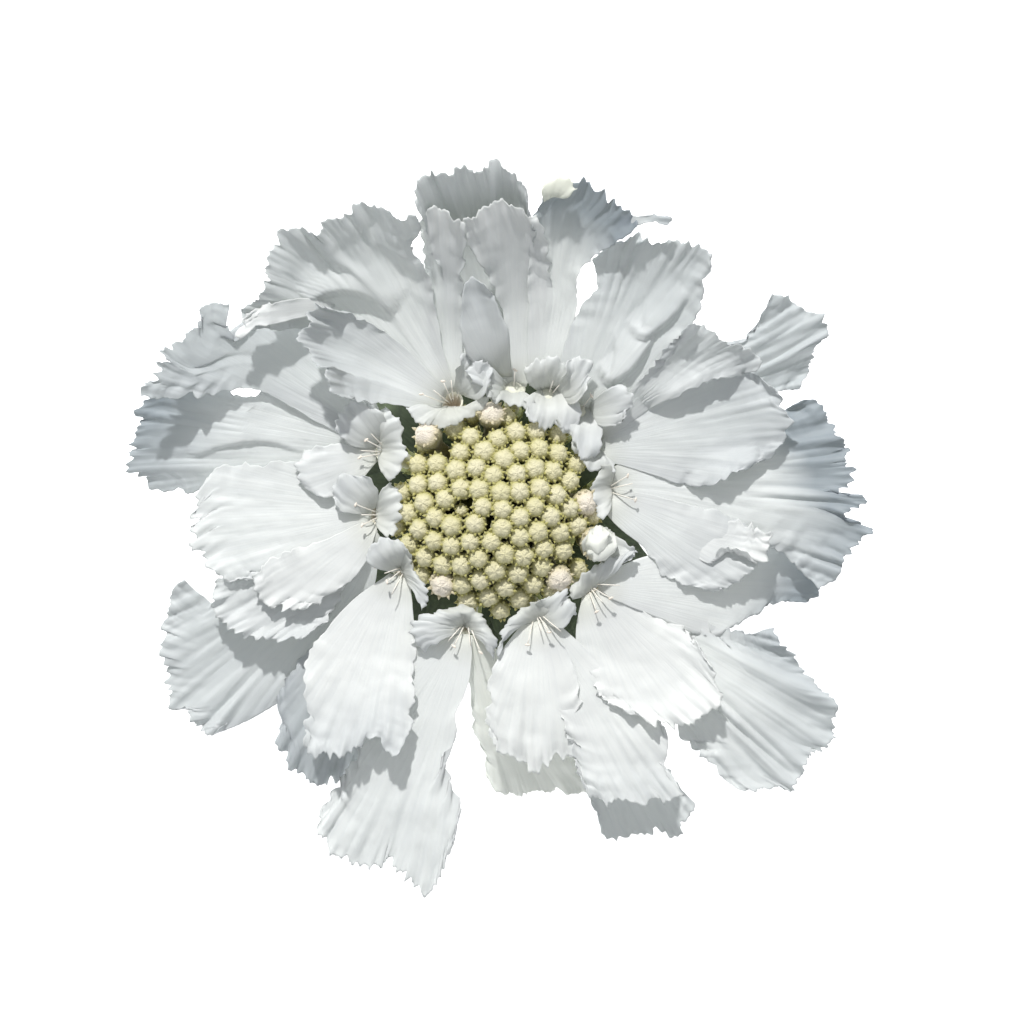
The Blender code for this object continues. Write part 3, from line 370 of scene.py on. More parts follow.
RAYS["ray_floret_11"] = (-12.2, -0.4), [
    Lobe([(-13.1, -1.4), (-18, -4.2), (-22, -5.9), (-25, -6.9)],
         [(-27, -7.1), (-28.4, -5.9), (-29.6, -5.2), (-29.4, -4.2), (-30.8, -3.4), (-29.8, -2.8),
          (-30.9, -1.9), (-29.6, -1.2), (-31, -0.5), (-30, 0.4), (-30.4, 1.2)],
         [(-12.6, 0.9), (-13.6, 3.6), (-17, 4.6), (-22, 5), (-26, 4.6), (-28.4, 4.1), (-30, 2.2)],
         13.8, 13.6, tilt=-0.4, pleats=8, depth=0.1, crimp=0.15, teeth=0.35, ruffle=0.25, painted_shade=0.22),
    Lobe([(-12.2, -1.6), (-13.6, -5.4), (-16, -8), (-19.4, -9.8)], [(-21.2, -10), (-23, -9.2), (-24.4, -8)],
         [(-13.1, -0.8), (-18, -3), (-22, -4.2), (-24.8, -6.4)],
         14.4, 14.4, depth=0.06, crimp=0.12, teeth=0.3, ruffle=0.35, painted_shade=0.1),
    Lobe([(-12.2, -2), (-15.6, -8), (-17.6, -11), (-19, -12.2)],
         [(-19.8, -12.8), (-21.4, -12.9), (-22.8, -12.6), (-24.2, -12.9), (-25.6, -12.6), (-26.6, -11.7),
          (-27.8, -11.2), (-28.9, -9.5)], [(-13.1, -0.9), (-20, -5), (-25, -6), (-28.3, -6.8)],
         13.2, 13.2, pleats=6, depth=0.2, crimp=0.3, teeth=0.35, ruffle=0.6, roll=(0, 0.5, 0.2), painted_shade=0.3),
    Lobe([(-12, -2.5), (-12.6, -7.6), (-16.2, -13.5), (-19.8, -17.2), (-21.4, -17.9), (-23.2, -18)],
         [(-23.6, -19), (-25, -19.6), (-26.4, -20.6), (-27.8, -21.4), (-29, -22), (-30.2, -21), (-32, -20.2),
          (-33, -18.9), (-33.3, -17.2), (-33.2, -15.1), (-34, -14.3), (-33.4, -12.9), (-33.9, -11.4),
          (-33.3, -9.9), (-32.9, -8.9), (-32.5, -7.6)],
         [(-13.1, -0.8), (-21, -5), (-26, -7), (-28.6, -9), (-30.4, -8), (-31.6, -6.8)],
         11.4, 10.4, cup=0.3, tilt=0.8, pleats=12, depth=0.35, crimp=0.9, teeth=0.35, painted_shade=0.48),
    Lobe([(-12.4, 0.8), (-11.8, 2.2), (-10.8, 2.8)], [(-10, 1.4), (-9.9, 0), (-10.1, -1.2)],
         [(-12.4, -1.4), (-11.6, -2.4), (-10.6, -2.5)], 14.6, 14.6, cup=0.2, ruffle=0.35, cream=0.05),
    Lobe([(-13.2, -0.4), (-15.2, -0.2), (-16.4, 0.6)], [(-16.4, 2.4), (-15.2, 3.6)],
         [(-12.2, 0.6), (-12.2, 2.2), (-13.2, 3.4)], 14.8, 15.2, pleats=3, depth=0.15, ruffle=0.35),
]
RAYS["ray_floret_12"] = (-11.5, 6.1), [
    Lobe([(-12.6, 5.9), (-17, 8.2), (-22, 11), (-23.8, 11.9), (-26.2, 12.3), (-30, 11.4), (-36, 11.4)],
         [(-35.2, 12.8), (-34.2, 13.2), (-34.2, 14.5), (-32.8, 14.9), (-33.9, 15.9), (-32.4, 16.2),
          (-31.4, 16.8), (-30.8, 17.8), (-30.4, 18.8), (-29.6, 20.3), (-29, 21), (-28, 20.8)],
         [(-11.4, 8.4), (-12.6, 11.2), (-17, 14.8), (-20, 18.6), (-24, 19), (-26.4, 17.2), (-27, 18),
          (-26.9, 20.6)], 14.4, 16.6, pleats=9, depth=0.15, teeth=0.35, ruffle=0.25, painted_shade=0.6),
    Lobe([(-12.6, 5.2), (-20, 3.2), (-30, 1.9), (-35, 2.1)],
         [(-35.2, 3.5), (-36.9, 3.9), (-37.5, 5.6), (-36.4, 6.1), (-36.7, 7.9), (-35.4, 9), (-36.3, 9.9),
          (-35.4, 10.8)],
         [(-12.4, 6.8), (-17, 10.5), (-21.5, 12.8), (-23.5, 12.2), (-24.3, 11.5), (-26.1, 11.5),
          (-27.2, 12.6), (-31, 13.4), (-34, 12.6)],
         12.6, 10.5, tilt=1.5, pleats=9, depth=0.35, crimp=0.45, teeth=0.35, ruffle=0.25, painted_shade=0.42,
         painted_tip_shade=0.5, lean=0.5, folds=(([(-31, 5.4), (-27, 6.7), (-23, 6.9), (-19.6, 5.8)], 0.55),)),
    Lobe([(-12.3, 4.9), (-14.5, 2.5), (-17, 1.3), (-19.3, 2.2)], [(-20.2, 3.4), (-20.3, 4.6)],
         [(-12.6, 6.4), (-16.5, 6.7), (-19.6, 6.1)], 14.6, 14.4, painted_shade=0.2),
    Lobe([(-12.2, 7.6), (-12, 9.6), (-11.4, 10.4)], [(-10.2, 9), (-9.4, 7.6), (-9.4, 5.6), (-9.9, 4.1)],
         [(-12.2, 5), (-11.8, 3.8), (-11, 3)], 14.9, 15, cup=0.2, ruffle=0.35, cream=0.05),
    Lobe([(-12.6, 6.2), (-14.8, 6.6), (-16.4, 8)], [(-15.8, 10), (-14.6, 11)],
         [(-11.2, 7.6), (-11.4, 9.4), (-12.6, 10.6)], 15.4, 15.9, depth=0.15, ruffle=0.45),
]

# Petals of the half-open floret: round ones folded over one another, then the one that spreads.
HALF_OPEN_PETALS = (
    Lobe([(8.3, -4.2), (8.1, -3), (8.8, -2)], [(9.8, -1.6), (10.8, -2)], [(9, -4.9), (10.2, -4.8), (11, -4)],
         16, 16.2, start=14.2, cup=-0.9, pleats=2, depth=0.05, ruffle=0.25, cream=0.3),
    Lobe([(11.4, -2.2), (11.6, -3.4), (10.9, -4.5)], [(9.8, -4.9), (8.9, -4.4)],
         [(10.6, -1.6), (9.6, -1.9), (9, -2.8)],
         16.2, 16.4, start=14.4, cup=-0.9, pleats=2, depth=0.05, ruffle=0.25, cream=0.3),
    Lobe([(9, -1.8), (8.4, -2.9), (8.6, -3.9)], [(9.4, -4.1), (10.2, -3.7)],
         [(10.2, -1.5), (10.9, -2.2), (10.8, -3)],
         16.8, 16.8, start=14.8, cup=-0.6, pleats=2, depth=0.05, ruffle=0.25, cream=0.35),
    Lobe([(10.6, -1.9), (12.2, -2.9), (13.4, -3.6)], [(14, -4.1), (13.4, -4.4)],
         [(9.4, -5), (11.2, -5.1), (12.6, -4.9)], 14.4, 14.6, cup=0.4, pleats=3, depth=0.1, ruffle=0.25),
)


# Noise, curves and rings.


def noise(x, y, seed):
    """Smooth noise from -1 to 1 over two coordinates."""

    def corner(i, j):
        """A scattered value for each corner of a grid of whole numbers."""
        wave = np.sin(i * 127.1 + j * 311.7 + seed * 74.7) * 43758.5453
        return 2 * (wave - np.floor(wave)) - 1

    turn = seed * 1.3
    x, y = x * math.cos(turn) - y * math.sin(turn), x * math.sin(turn) + y * math.cos(turn)
    i, j = np.floor(x), np.floor(y)
    s, t = smooth(x - i), smooth(y - j)
    low = corner(i, j) * (1 - s) + corner(i + 1, j) * s
    high = corner(i, j + 1) * (1 - s) + corner(i + 1, j + 1) * s
    return low * (1 - t) + high * t


def smooth(x):
    """A soft step from 0 to 1."""
    x = np.clip(x, 0, 1)
    return x * x * (3 - 2 * x)


def lengths(points):
    """The distance of each point along a line of points."""
    return np.r_[0, np.cumsum(np.linalg.norm(np.diff(points, axis=0), axis=1))]


def through(points, shares):
    """Points on a smooth curve through the given ones, at these shares of its chord length.

    A whole number in place of the shares asks for that many points, evenly spaced.
    """
    points = np.array(points, float)
    at = lengths(points)
    slopes = np.gradient(points, at, axis=0)
    wanted = at[-1] * (np.linspace(0, 1, shares) if np.ndim(shares) == 0 else shares)
    place = np.clip(np.searchsorted(at, wanted) - 1, 0, len(at) - 2)
    span = (at[place + 1] - at[place])[:, None]
    t = (wanted - at[place])[:, None] / span
    start, stop = points[place], points[place + 1]
    leaving, arriving = slopes[place] * span, slopes[place + 1] * span
    bends = leaving * (t**3 - 2 * t**2 + t) + arriving * (t**3 - t**2)
    return start * (2 * t**3 - 3 * t**2 + 1) + stop * (3 * t**2 - 2 * t**3) + bends


def jagged(points, count):
    """count points on straight lines through the given ones, evenly spaced."""
    points = np.array(points, float)
    at = lengths(points)
    return np.column_stack([np.interp(np.linspace(0, at[-1], count), at, column) for column in points.T])


def rounded(points, reach):
    """A line of evenly spaced points without the teeth that are finer than reach; its ends stay."""
    count = max(1, int(reach / lengths(points)[-1] * len(points)))
    padded = np.pad(points, ((count, count), (0, 0)), mode="reflect", reflect_type="odd")
    weights = np.hanning(2 * count + 3)[1:-1]
    return np.column_stack([np.convolve(column, weights / weights.sum(), "valid") for column in padded.T])


def unit(vector):
    """The same direction with a length of 1."""
    return vector / np.linalg.norm(vector)


def polar(radius, angle, height):
    """The point at a distance and angle round the Z axis, and a height."""
    return (radius * math.cos(angle), radius * math.sin(angle), height)


def frame_of(line):
    """A direction and two directions square to it."""
    ahead = unit(line)
    aside = unit(np.cross(ahead, (0.3, 0.2, 1) if abs(ahead[2]) < 0.9 else (1, 0.2, 0.1)))
    return ahead, aside, np.cross(ahead, aside)


def circle(sides, aside=(1, 0, 0), up=(0, 1, 0)):
    """The angles of a circle's points, and the points: a unit circle in the plane of two directions."""
    angles = np.arange(sides) * math.tau / sides
    return angles, np.cos(angles)[:, None] * aside + np.sin(angles)[:, None] * up


def rings_along(spine, radii, sides):
    """Rings of points square to a spine of points."""
    spine = np.array(spine, float)
    directions = np.gradient(spine, axis=0)
    _, aside, _ = frame_of(directions[0])
    rings = []
    for point, ahead, radius in zip(spine, directions, radii):
        ahead = unit(ahead)
        aside = unit(aside - ahead * np.dot(aside, ahead))
        rings.append(point + radius * circle(sides, aside, np.cross(ahead, aside))[1])
    return rings


# Petal surfaces.


def fan(x, y, shape):
    """Where points lie on the fan that the veins make: across it, in mm at its tip, and out along it."""
    foot = np.add(shape.left[0], shape.right[0]) / 2
    tip = np.add(shape.left[-1], shape.right[-1]) / 2
    ahead = unit(tip - foot)
    source = foot - FAN_SETBACK * ahead
    x, y = x - source[0], y - source[1]
    forward, aside = x * ahead[0] + y * ahead[1], x * -ahead[1] + y * ahead[0]
    return np.arctan2(aside, forward) * np.linalg.norm(tip - source), np.hypot(x, y)


def creased(height):
    """A noise's size, so that its zeros become creases that are narrow but not knife-edged."""
    return np.hypot(height, CREASE_WIDTH)


def pleats(u, across, shape, seed, wide):
    """Puffed pleats between creases that fan out to the tip, as a height around 0."""
    place = across * shape.pleats / wide  # in pleats
    place = place + 0.35 * noise(u * 2.2, place / 2.5, seed + 5)  # they wander a little
    begin = 0.25 + 0.2 * noise(place / 1.7, 0, seed + 2)  # and begin at different places
    grow = smooth((u - begin) / (1 - begin))
    large = creased(noise(place, u * 1.1, seed))
    middle = creased(noise(place * 2.3, u * 2, seed + 1))
    fine = noise(place * 5.3, u * 5, seed + 3)
    return grow * (1.15 * large + 0.45 * middle - 0.5) + 0.08 * smooth(u * 2) * fine


def ridges(u, across, seed):
    """Narrow puffs between sharp creases near the tip, stronger in some places than in others."""
    across = across + 0.15 * noise(u * 3, across / 2, seed)
    begin = 0.52 + 0.15 * noise(across / 1.5, 0, seed + 23)
    strength = np.clip(0.65 + 0.75 * noise(across / 4.5, u * 1.5, seed + 21), 0.1, 1.2)
    large = creased(noise(across / 1.05, u, seed + 22))
    small = creased(noise(across / 0.55, u * 1.5, seed + 24))
    return smooth((u - begin) / 0.42) * strength * (1.6 * large + 0.4 * small - 0.7)


def toothed(along, seed):
    """Sharp teeth along a margin, as a height around 0."""
    large = np.abs(noise(along / 0.9, 0, seed))
    small = np.abs(noise(along / 0.42, 0, seed + 1))
    return 1.7 - 3 * large - 2 * small


def fold(x, y, line, height):
    """How far a sheet rises to a line that it folds over at; it drops on the line's right."""
    points = through(line, 40)
    gaps = np.hypot(x[..., None] - points[:, 0], y[..., None] - points[:, 1])
    nearest = gaps.argmin(axis=2)
    ahead = np.gradient(points, axis=0)[nearest]
    offset = np.dstack([x, y]) - points[nearest]
    on_left = ahead[..., 0] * offset[..., 1] - ahead[..., 1] * offset[..., 0] > 0
    taper = np.sin(np.pi * nearest / (len(points) - 1)) ** 0.6
    return height * taper * np.exp(-((gaps.min(axis=2) / np.where(on_left, FOLD_REACH, FOLD_DROP)) ** 2))


def frill(distance, along, seed, reach):
    """Short waves square to a margin, dying out a little way in from it."""
    wave = noise(along / 0.95, distance / 3, seed) + 0.6 * noise(along / 0.45, distance / 2, seed + 1)
    return wave * np.exp(-distance / reach)


def fringe(shape, seed, tip, v, wide, out):
    """How far the teeth and the pleats' ends move the points of a lobe's tip, down to 0 at its corners."""
    across, _ = fan(*tip.T, shape)
    at_tip = np.ones_like(v)
    reach = pleats(at_tip, across, shape, seed, wide) + toothed(v * wide, seed + 3)
    reach = reach + TIP_RIDGES * ridges(at_tip, across, seed)
    facing = np.gradient(tip, axis=0) @ np.array([[0, 1], [-1, 0]])
    facing /= np.linalg.norm(facing, axis=1, keepdims=True)
    facing *= np.sign((facing @ out).mean())
    return (shape.teeth * reach * np.sin(np.pi * v) ** 0.3)[:, None] * (facing + out) / 2


def blade(shape, seed, throat=None):
    """A lobe's grid of points from throat to tip, its grain (across, along and tone, which holds cream and
    painted shade) and its thickness.
    """
    long = (lengths(shape.left)[-1] + lengths(shape.right)[-1]) / 2
    tip_points = [shape.left[-1], *shape.tip, shape.right[-1]]
    wide = lengths(tip_points)[-1]
    rows, columns = (max(FEWEST_FACES, int(size)) for size in (long / FACE_LONG, wide / FACE_WIDE))
    u, v = np.linspace(0, 1, rows + 1), np.linspace(0, 1, columns + 1)
    u = u * (1.5 - u / 2)  # rows are closer together towards the tip
    left, right = through(shape.left, u), through(shape.right, u)
    line = jagged if len(shape.tip) > 3 else through  # a short tip is round, a longer one keeps its corners
    tip = line(tip_points, columns + 1)
    out = unit(left[-1] + right[-1] - left[0] - right[0])
    side = np.array([-out[1], out[0]])
    straight = left[-1] + (right[-1] - left[-1]) * v[:, None]
    body = rounded(tip, TOOTH_REACH)
    teeth = tip + fringe(shape, seed, tip, v, wide, out) - body

    # The sheet seen from above: between the margins, with the teeth shaping only what is near them.
    u, v = np.meshgrid(u, v, indexing="ij")
    width = np.linalg.norm(right - left, axis=1)[:, None]
    from_left, from_right, from_tip = v * width, (1 - v) * width, (1 - u) * long
    flat = left[:, None] * (1 - v[..., None]) + right[:, None] * v[..., None]
    flat = flat + u[..., None] * (body - straight) + np.exp(-from_tip / TOOTH_REACH)[..., None] * teeth
    s = u * long
    for distance, way in ((from_left, 1), (from_right, -1)):  # way also sets the two sides' noise apart
        wobble = sum(height * noise(s * rate, way, seed + 4) for rate, height in SIDE_WAVES)
        wobble = wobble + SIDE_TEETH * shape.teeth * toothed(s + 40 * way, seed + 5) * smooth(u * 2 - 0.6)
        wobble = wobble * smooth(u * 1.6) * (1 - u**12) * np.exp(-distance / TOOTH_REACH)
        flat = flat + wobble[..., None] * side * way
    x, y = flat[..., 0], flat[..., 1]
    across, along = fan(x, y, shape)

    # Its height.
    w = 2 * v - 1
    z = shape.start * (1 - u) * (1 - 2 * u) + shape.mid * 4 * u * (1 - u) + shape.end * u * (2 * u - 1)
    z = z + u * (shape.cup * w**2 + shape.tilt * w) - shape.bend * smooth(u * 2.2 - 1.2)
    z = z + shape.depth * pleats(u, across, shape, seed, wide) + shape.crimp * ridges(u, across, seed)
    for number, (size, height) in enumerate(LUMPS):
        z = z + smooth(u * 2) * height * noise(x / size, y / size, seed + 6 + number)
    reach = np.minimum(FRILL_REACH, FRILL_SHARE * width)
    waves = frill(from_left, s, seed + 11, reach) + frill(from_right, s, seed + 14, reach)
    waves = waves + frill(from_tip, v * wide, seed + 17, FRILL_REACH)
    z = z + shape.ruffle * waves * smooth(u * 2 - 0.4)
    for amount, distance in zip(shape.roll, (from_left, from_tip, from_right)):
        z = z + amount * np.exp(-((distance / ROLL_REACH) ** 2)) * smooth(u * 2)
    for line, height in shape.folds:
        z = z + fold(x, y, line, height)
    if throat:
        z = z - THROAT_DIP * np.exp(-((np.hypot(x - throat[0], y - throat[1]) / DIP_REACH) ** 2))

    # Its colour, where cream is its own and grey is painted shade, and its thickness.
    tone = shape.cream - shape.painted_shade * (0.5 + 0.5 * smooth(u * 1.3 - 0.2))
    # painted shade that grows towards the tip, stronger on one side
    tone = tone - shape.painted_tip_shade * smooth(u * 2.4 - 1.4) * (1 + shape.lean * w)
    if shape.start != THROAT_HEIGHT:
        along = along + FAR_FROM_THROAT
    elif long < SHORT_LOBE:
        # a short lobe by the throat gets painted shade
        tone = tone - SHORT_LOBE_SHADE
    inside = smooth(np.minimum(np.minimum(from_left, from_right), from_tip))
    thick = PETAL_THICKNESS * (EDGE_SHARE + (1 - EDGE_SHARE) * inside)
    return np.dstack([x, y, z]), np.dstack([across, along, tone]), thick[..., None]


class Shells:
    """The points, faces, grain and materials of one piece, gathered shell by shell."""

    def __init__(self):
        self.points, self.faces, self.grain, self.kinds = [], [], [], []
        self.count = 0

    def add(self, points, grain, kind, *faces):
        """Points with their grain, and arrays of faces that count from the first of these points."""
        for some in faces:
            self.faces += (some + self.count).tolist()
            self.kinds += [kind] * len(some)
        self.points.append(points)
        self.grain.append(grain)
        self.count += len(points)

    def sheet(self, grid, grain, thickness, kind=0):
        """A closed sheet over a grid of points; its thickness may vary from point to point."""
        normal = np.cross(np.gradient(grid, axis=1), np.gradient(grid, axis=0))
        normal /= np.linalg.norm(normal, axis=2, keepdims=True)
        normal *= np.sign(normal[..., 2:].mean())
        top = (grid + normal * thickness / 2).reshape(-1, 3)
        bottom = (grid - normal * thickness / 2).reshape(-1, 3)
        rows, columns = grid.shape[:2]
        count = rows * columns
        index = np.arange(count).reshape(rows, columns)
        quads = np.dstack([index[:-1, :-1], index[1:, :-1], index[1:, 1:], index[:-1, 1:]]).reshape(-1, 4)
        edge = np.r_[index[:, 0], index[-1, 1:], index[-2::-1, -1], index[0, -2:0:-1]]
        after = np.roll(edge, -1)
        rim = np.column_stack([edge, edge + count, after + count, after])
        faces = np.r_[quads, quads[:, ::-1] + count, rim]
        a, b, c = top[quads[0, :3]]  # its first face tells whether the faces look outwards
        if np.dot(np.cross(b - a, c - b), (top - bottom)[quads[0, 0]]) < 0:
            faces = faces[:, ::-1]
        flat = grain.reshape(-1, 3)
        self.add(np.r_[top, bottom], np.r_[flat, flat], kind, faces)

    def lathe(self, rings, kind, across=0, along=0, tone=0):
        """Faces through rings of points, closed to a point at both ends.

        The grain's across is given for each side, and its along and tone for each ring.
        """
        rings = np.array(rings)
        grain = np.zeros(rings.shape)
        for axis, values in enumerate((across, np.reshape(along, (-1, 1)), np.reshape(tone, (-1, 1)))):
            grain[..., axis] = values
        count, sides = rings.shape[:2]
        index = np.arange(count * sides).reshape(count, sides)
        after = np.roll(index, -1, axis=1)
        quads = np.dstack([index[:-1], after[:-1], after[1:], index[1:]]).reshape(-1, 4)
        middle = np.full(sides, count * sides)
        low = np.column_stack([middle, after[0], index[0]])
        high = np.column_stack([index[-1], after[-1], middle + 1])
        points, values = (np.r_[own.reshape(-1, 3), own[[0, -1]].mean(axis=1)] for own in (rings, grain))
        self.add(points, values, kind, quads, low, high)

    def piece(self, name, surfaces, slot, *nodes):
        """The finished object, riding on the root and standing for its CAD nodes."""
        mesh = bpy.data.meshes.new(name)
        mesh.from_pydata(((np.concatenate(self.points) + AXIS) * MM).tolist(), [], self.faces)
        for surface in surfaces:
            mesh.materials.append(surface)
        mesh.polygons.foreach_set("material_index", self.kinds)
        mesh.shade_smooth()
        values = mesh.attributes.new("grain", "FLOAT_VECTOR", "POINT")
        values.data.foreach_set("vector", np.concatenate(self.grain).astype(np.float32).ravel())
        mesh.update()
        obj = placed(name, mesh)
        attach(obj, "root")
        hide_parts(*nodes)


def placed(name, data):
    """A new object in the scene."""
    obj = bpy.data.objects.new(name, data)
    bpy.context.scene.collection.objects.link(obj)
    return obj


# Materials.


class Surface:
    """A material's node tree, with short ways to add and join nodes."""

    def __init__(self, name, roughness):
        self.material = bpy.data.materials.new(name)
        self.material.use_nodes = True
        self.tree = self.material.node_tree
        self.tree.nodes.clear()
        self.output = self.add("ShaderNodeOutputMaterial")
        self.shader = self.add("ShaderNodeBsdfPrincipled", Roughness=roughness)
        self.feed(self.output.inputs["Surface"], self.shader.outputs[0])

    def add(self, kind, **inputs):
        node = self.tree.nodes.new(kind)
        for name, value in inputs.items():
            self.feed(node.inputs[name], value)
        return node

    def feed(self, socket, value):
        if hasattr(value, "links"):
            self.tree.links.new(value, socket)
        else:
            socket.default_value = value

    def math(self, operation, a, b):
        node = self.add("ShaderNodeMath")
        node.operation = operation
        self.feed(node.inputs[0], a)
        self.feed(node.inputs[1], b)
        return node.outputs[0]

    def times(self, value, factor):
        return self.math("MULTIPLY", value, factor)

    def clamp(self, value):
        return self.add("ShaderNodeClamp", Value=value).outputs[0]

    def ramp(self, value, *stops):
        node = self.add("ShaderNodeValToRGB", Fac=value)
        elements = node.color_ramp.elements
        while len(elements) < len(stops):
            elements.new(0.5)
        for element, (at, colour) in zip(elements, stops):
            element.position = at
            element.color = (*colour, 1)
        return node.outputs[0]

    def mix(self, share, first, colour):
        node = self.add("ShaderNodeMix")
        node.data_type = "RGBA"
        self.feed(node.inputs["Factor"], share)
        self.feed(node.inputs[6], first)
        self.feed(node.inputs[7], (*colour, 1))
        return node.outputs[2]

    def grain(self):
        """The mesh's grain: across, along and tone."""
        node = self.add("ShaderNodeAttribute")
        node.attribute_name = "grain"
        return self.add("ShaderNodeSeparateXYZ", Vector=node.outputs["Vector"]).outputs

    def noise(self, scale, detail):
        place = self.add("ShaderNodeTexCoord").outputs["Object"]
        return self.add("ShaderNodeTexNoise", Scale=scale, Detail=detail, Vector=place).outputs[0]

    def veins(self, across, along):
        """Noise in lines that run along the grain."""
        lines = self.add("ShaderNodeCombineXYZ", X=across, Y=along).outputs[0]
        return self.add("ShaderNodeTexNoise", Scale=1.0, Detail=4.0, Vector=lines).outputs[0]

    def colour(self, value):
        self.feed(self.shader.inputs["Base Color"], value)

    def bump(self, height, distance, strength):
        node = self.add("ShaderNodeBump", Height=height, Distance=distance, Strength=strength)
        self.feed(self.shader.inputs["Normal"], node.outputs[0])


def petal_material():
    """White petal: fine veins along it, a little light through it, cream where its tone says, and grey
    painted shade where its tone falls below 0.
    """
    made = Surface("white_petal", 0.55)
    across, along, tone = made.grain()
    veins = made.veins(made.times(across, 2.4), made.times(along, 0.16))
    mottle = made.noise(700.0, 4.0)
    white = made.ramp(veins, (0.32, (0.85, 0.865, 0.865)), (0.58, (0.90, 0.91, 0.90)))
    white = made.mix(made.times(mottle, 0.25), white, (0.85, 0.875, 0.88))
    near_throat = made.math("SUBTRACT", 1.0, made.times(made.math("SUBTRACT", along, FAN_SETBACK), 0.3))
    white = made.mix(made.times(made.clamp(near_throat), 0.55), white, (0.64, 0.64, 0.53))
    white = made.mix(made.clamp(tone), white, (0.78, 0.79, 0.64))
    # painted shade: grey-blue where the tone falls below 0
    white = made.mix(made.clamp(made.times(tone, -1.0)), white, (0.28, 0.32, 0.36))
    made.colour(white)
    made.bump(made.math("ADD", veins, made.times(mottle, 0.8)), 0.00012, 0.35)
    glow = made.add("ShaderNodeBsdfTranslucent", Color=(0.84, 0.87, 0.82, 1))
    both = made.add("ShaderNodeMixShader", Fac=0.22)
    made.feed(both.inputs[1], made.shader.outputs[0])
    made.feed(both.inputs[2], glow.outputs[0])
    made.feed(made.output.inputs["Surface"], both.outputs[0])
    return made.material


def tube_material():
    """The corolla tube: greenish white outside, darker and browner inside."""
    made = Surface("petal_tube", 0.6)
    _, _, inside = made.grain()
    streaks = made.noise(4.0, 3.0)
    outer = made.ramp(streaks, (0.3, (0.70, 0.70, 0.58)), (0.7, (0.80, 0.80, 0.70)))
    made.colour(made.mix(inside, outer, (0.74, 0.67, 0.56)))
    made.bump(streaks, 0.00005, 0.5)
    return made.material


def bud_material(name, top, side, foot):
    """A bud: pale at its top, greener below and darkest at its foot, where the dark is painted shade between
    the buds; soft down all over.
    """
    made = Surface(name, 0.75)
    _, along, paleness = made.grain()
    down = made.noise(5500.0, 4.0)
    patches = made.noise(1500.0, 2.0)
    # the foot colour is painted shade where the buds crowd together
    colour = made.ramp(made.times(along, 0.5), (0.06, top), (0.26, side), (0.44, foot))
    colour = made.mix(made.times(patches, 0.3), colour, side)
    near_top = made.times(made.math("SUBTRACT", 0.5, along), paleness)
    made.colour(made.mix(made.clamp(near_top), colour, (0.84, 0.79, 0.64)))
    made.shader.inputs["Sheen Weight"].default_value = 0.3
    made.bump(down, 0.00022, 0.9)
    return made.material


def green_material(name, light, dark, roughness):
    """Leaf or stem green with veins along it."""
    made = Surface(name, roughness)
    across, along, _ = made.grain()
    veins = made.veins(made.times(across, 4.0), made.times(along, 0.5))
    both = made.math("ADD", made.times(veins, 0.5), made.times(made.noise(1100.0, 4.0), 0.5))
    made.colour(made.ramp(both, (0.35, dark), (0.65, light)))
    made.bump(both, 0.0001, 0.8)
    return made.material


def plain_material(name, light, dark, roughness, scale):
    """One soft colour that varies a little from place to place."""
    made = Surface(name, roughness)
    mottle = made.noise(scale, 3.0)
    made.colour(made.ramp(mottle, (0.35, dark), (0.65, light)))
    made.bump(mottle, 0.00004, 0.5)
    return made.material


# Pieces.


def funnel(shells, throat, is_open):
    """The corolla tube, open or closed at the top, and the ribbed calyx with bristles that holds its foot."""
    foot = np.array(polar(TUBE_FOOT_AT[0], math.atan2(throat[1], throat[0]), TUBE_FOOT_AT[1]))
    line = (*throat, THROAT_HEIGHT - MOUTH_SUNK) - foot
    ahead, aside, up = frame_of(line)
    angles, ring = circle(3 * CALYX_BRISTLES, aside, up)
    profile = (*TUBE, *(OPEN_END if is_open else CLOSED_END))
    rings = [foot + line * share + radius * ring for share, radius in profile]
    shells.lathe(rings, TUBE_KIND, tone=TUBE_SHADE * is_open)
    ribs = 1 + 0.07 * np.cos(CALYX_BRISTLES * angles)[:, None]
    rings = [foot + line * share + radius * ribs * ring for share, radius in CALYX]
    shells.lathe(rings, CALYX_KIND, angles * 1.5, range(len(rings)))
    shoulder = foot + line * CALYX[3][0]  # its widest ring carries the bristles
    for outward in ring[::3]:
        root = shoulder + outward * 1.05
        tip = root + ahead * 0.9 + outward * 0.3
        shells.lathe(rings_along([root, (root + tip) / 2, tip], CALYX_BRISTLE, 5), CALYX_KIND)


def stamens(shells, throat, seed, count):
    """Pale filaments leaning out of the throat, every second one with a small anther."""
    out = np.array([*throat, 0]) / np.hypot(*throat)
    side = np.array([-out[1], out[0], 0])
    for number in range(count):
        spread = (number - (count - 1) / 2) * STAMEN_SPACING + 0.25 * noise(number * 2.3, 0.5, seed)
        reach = STAMEN_REACH + 0.9 * noise(number * 1.7, 3.5, seed)
        lean = out * reach * 0.75 + side * spread * reach * 0.6
        root = (*throat, THROAT_HEIGHT - STAMEN_SUNK) + side * spread * 0.4
        rise = np.array([0, 0, STAMEN_RISE + 0.4 * spread])
        share = np.linspace(0, 1, 9)[:, None]
        spine = root + lean * share**1.6 + rise * np.sin(share * 1.7)
        shells.lathe(rings_along(spine, np.linspace(*FILAMENT_RADII, 9), 6), FILAMENT_KIND)
        if number % 2 == 0:
            line = np.dot(ANTHER_LINE, [side, out, (0, 0, 1)])
            share = np.linspace(-1, 1, 7)
            radii = ANTHER_RADIUS * np.sqrt(np.maximum(0.05, 1 - share**2))
            shells.lathe(rings_along(spine[-1] + line * share[:, None] / 2, radii, 8), ANTHER_KIND)


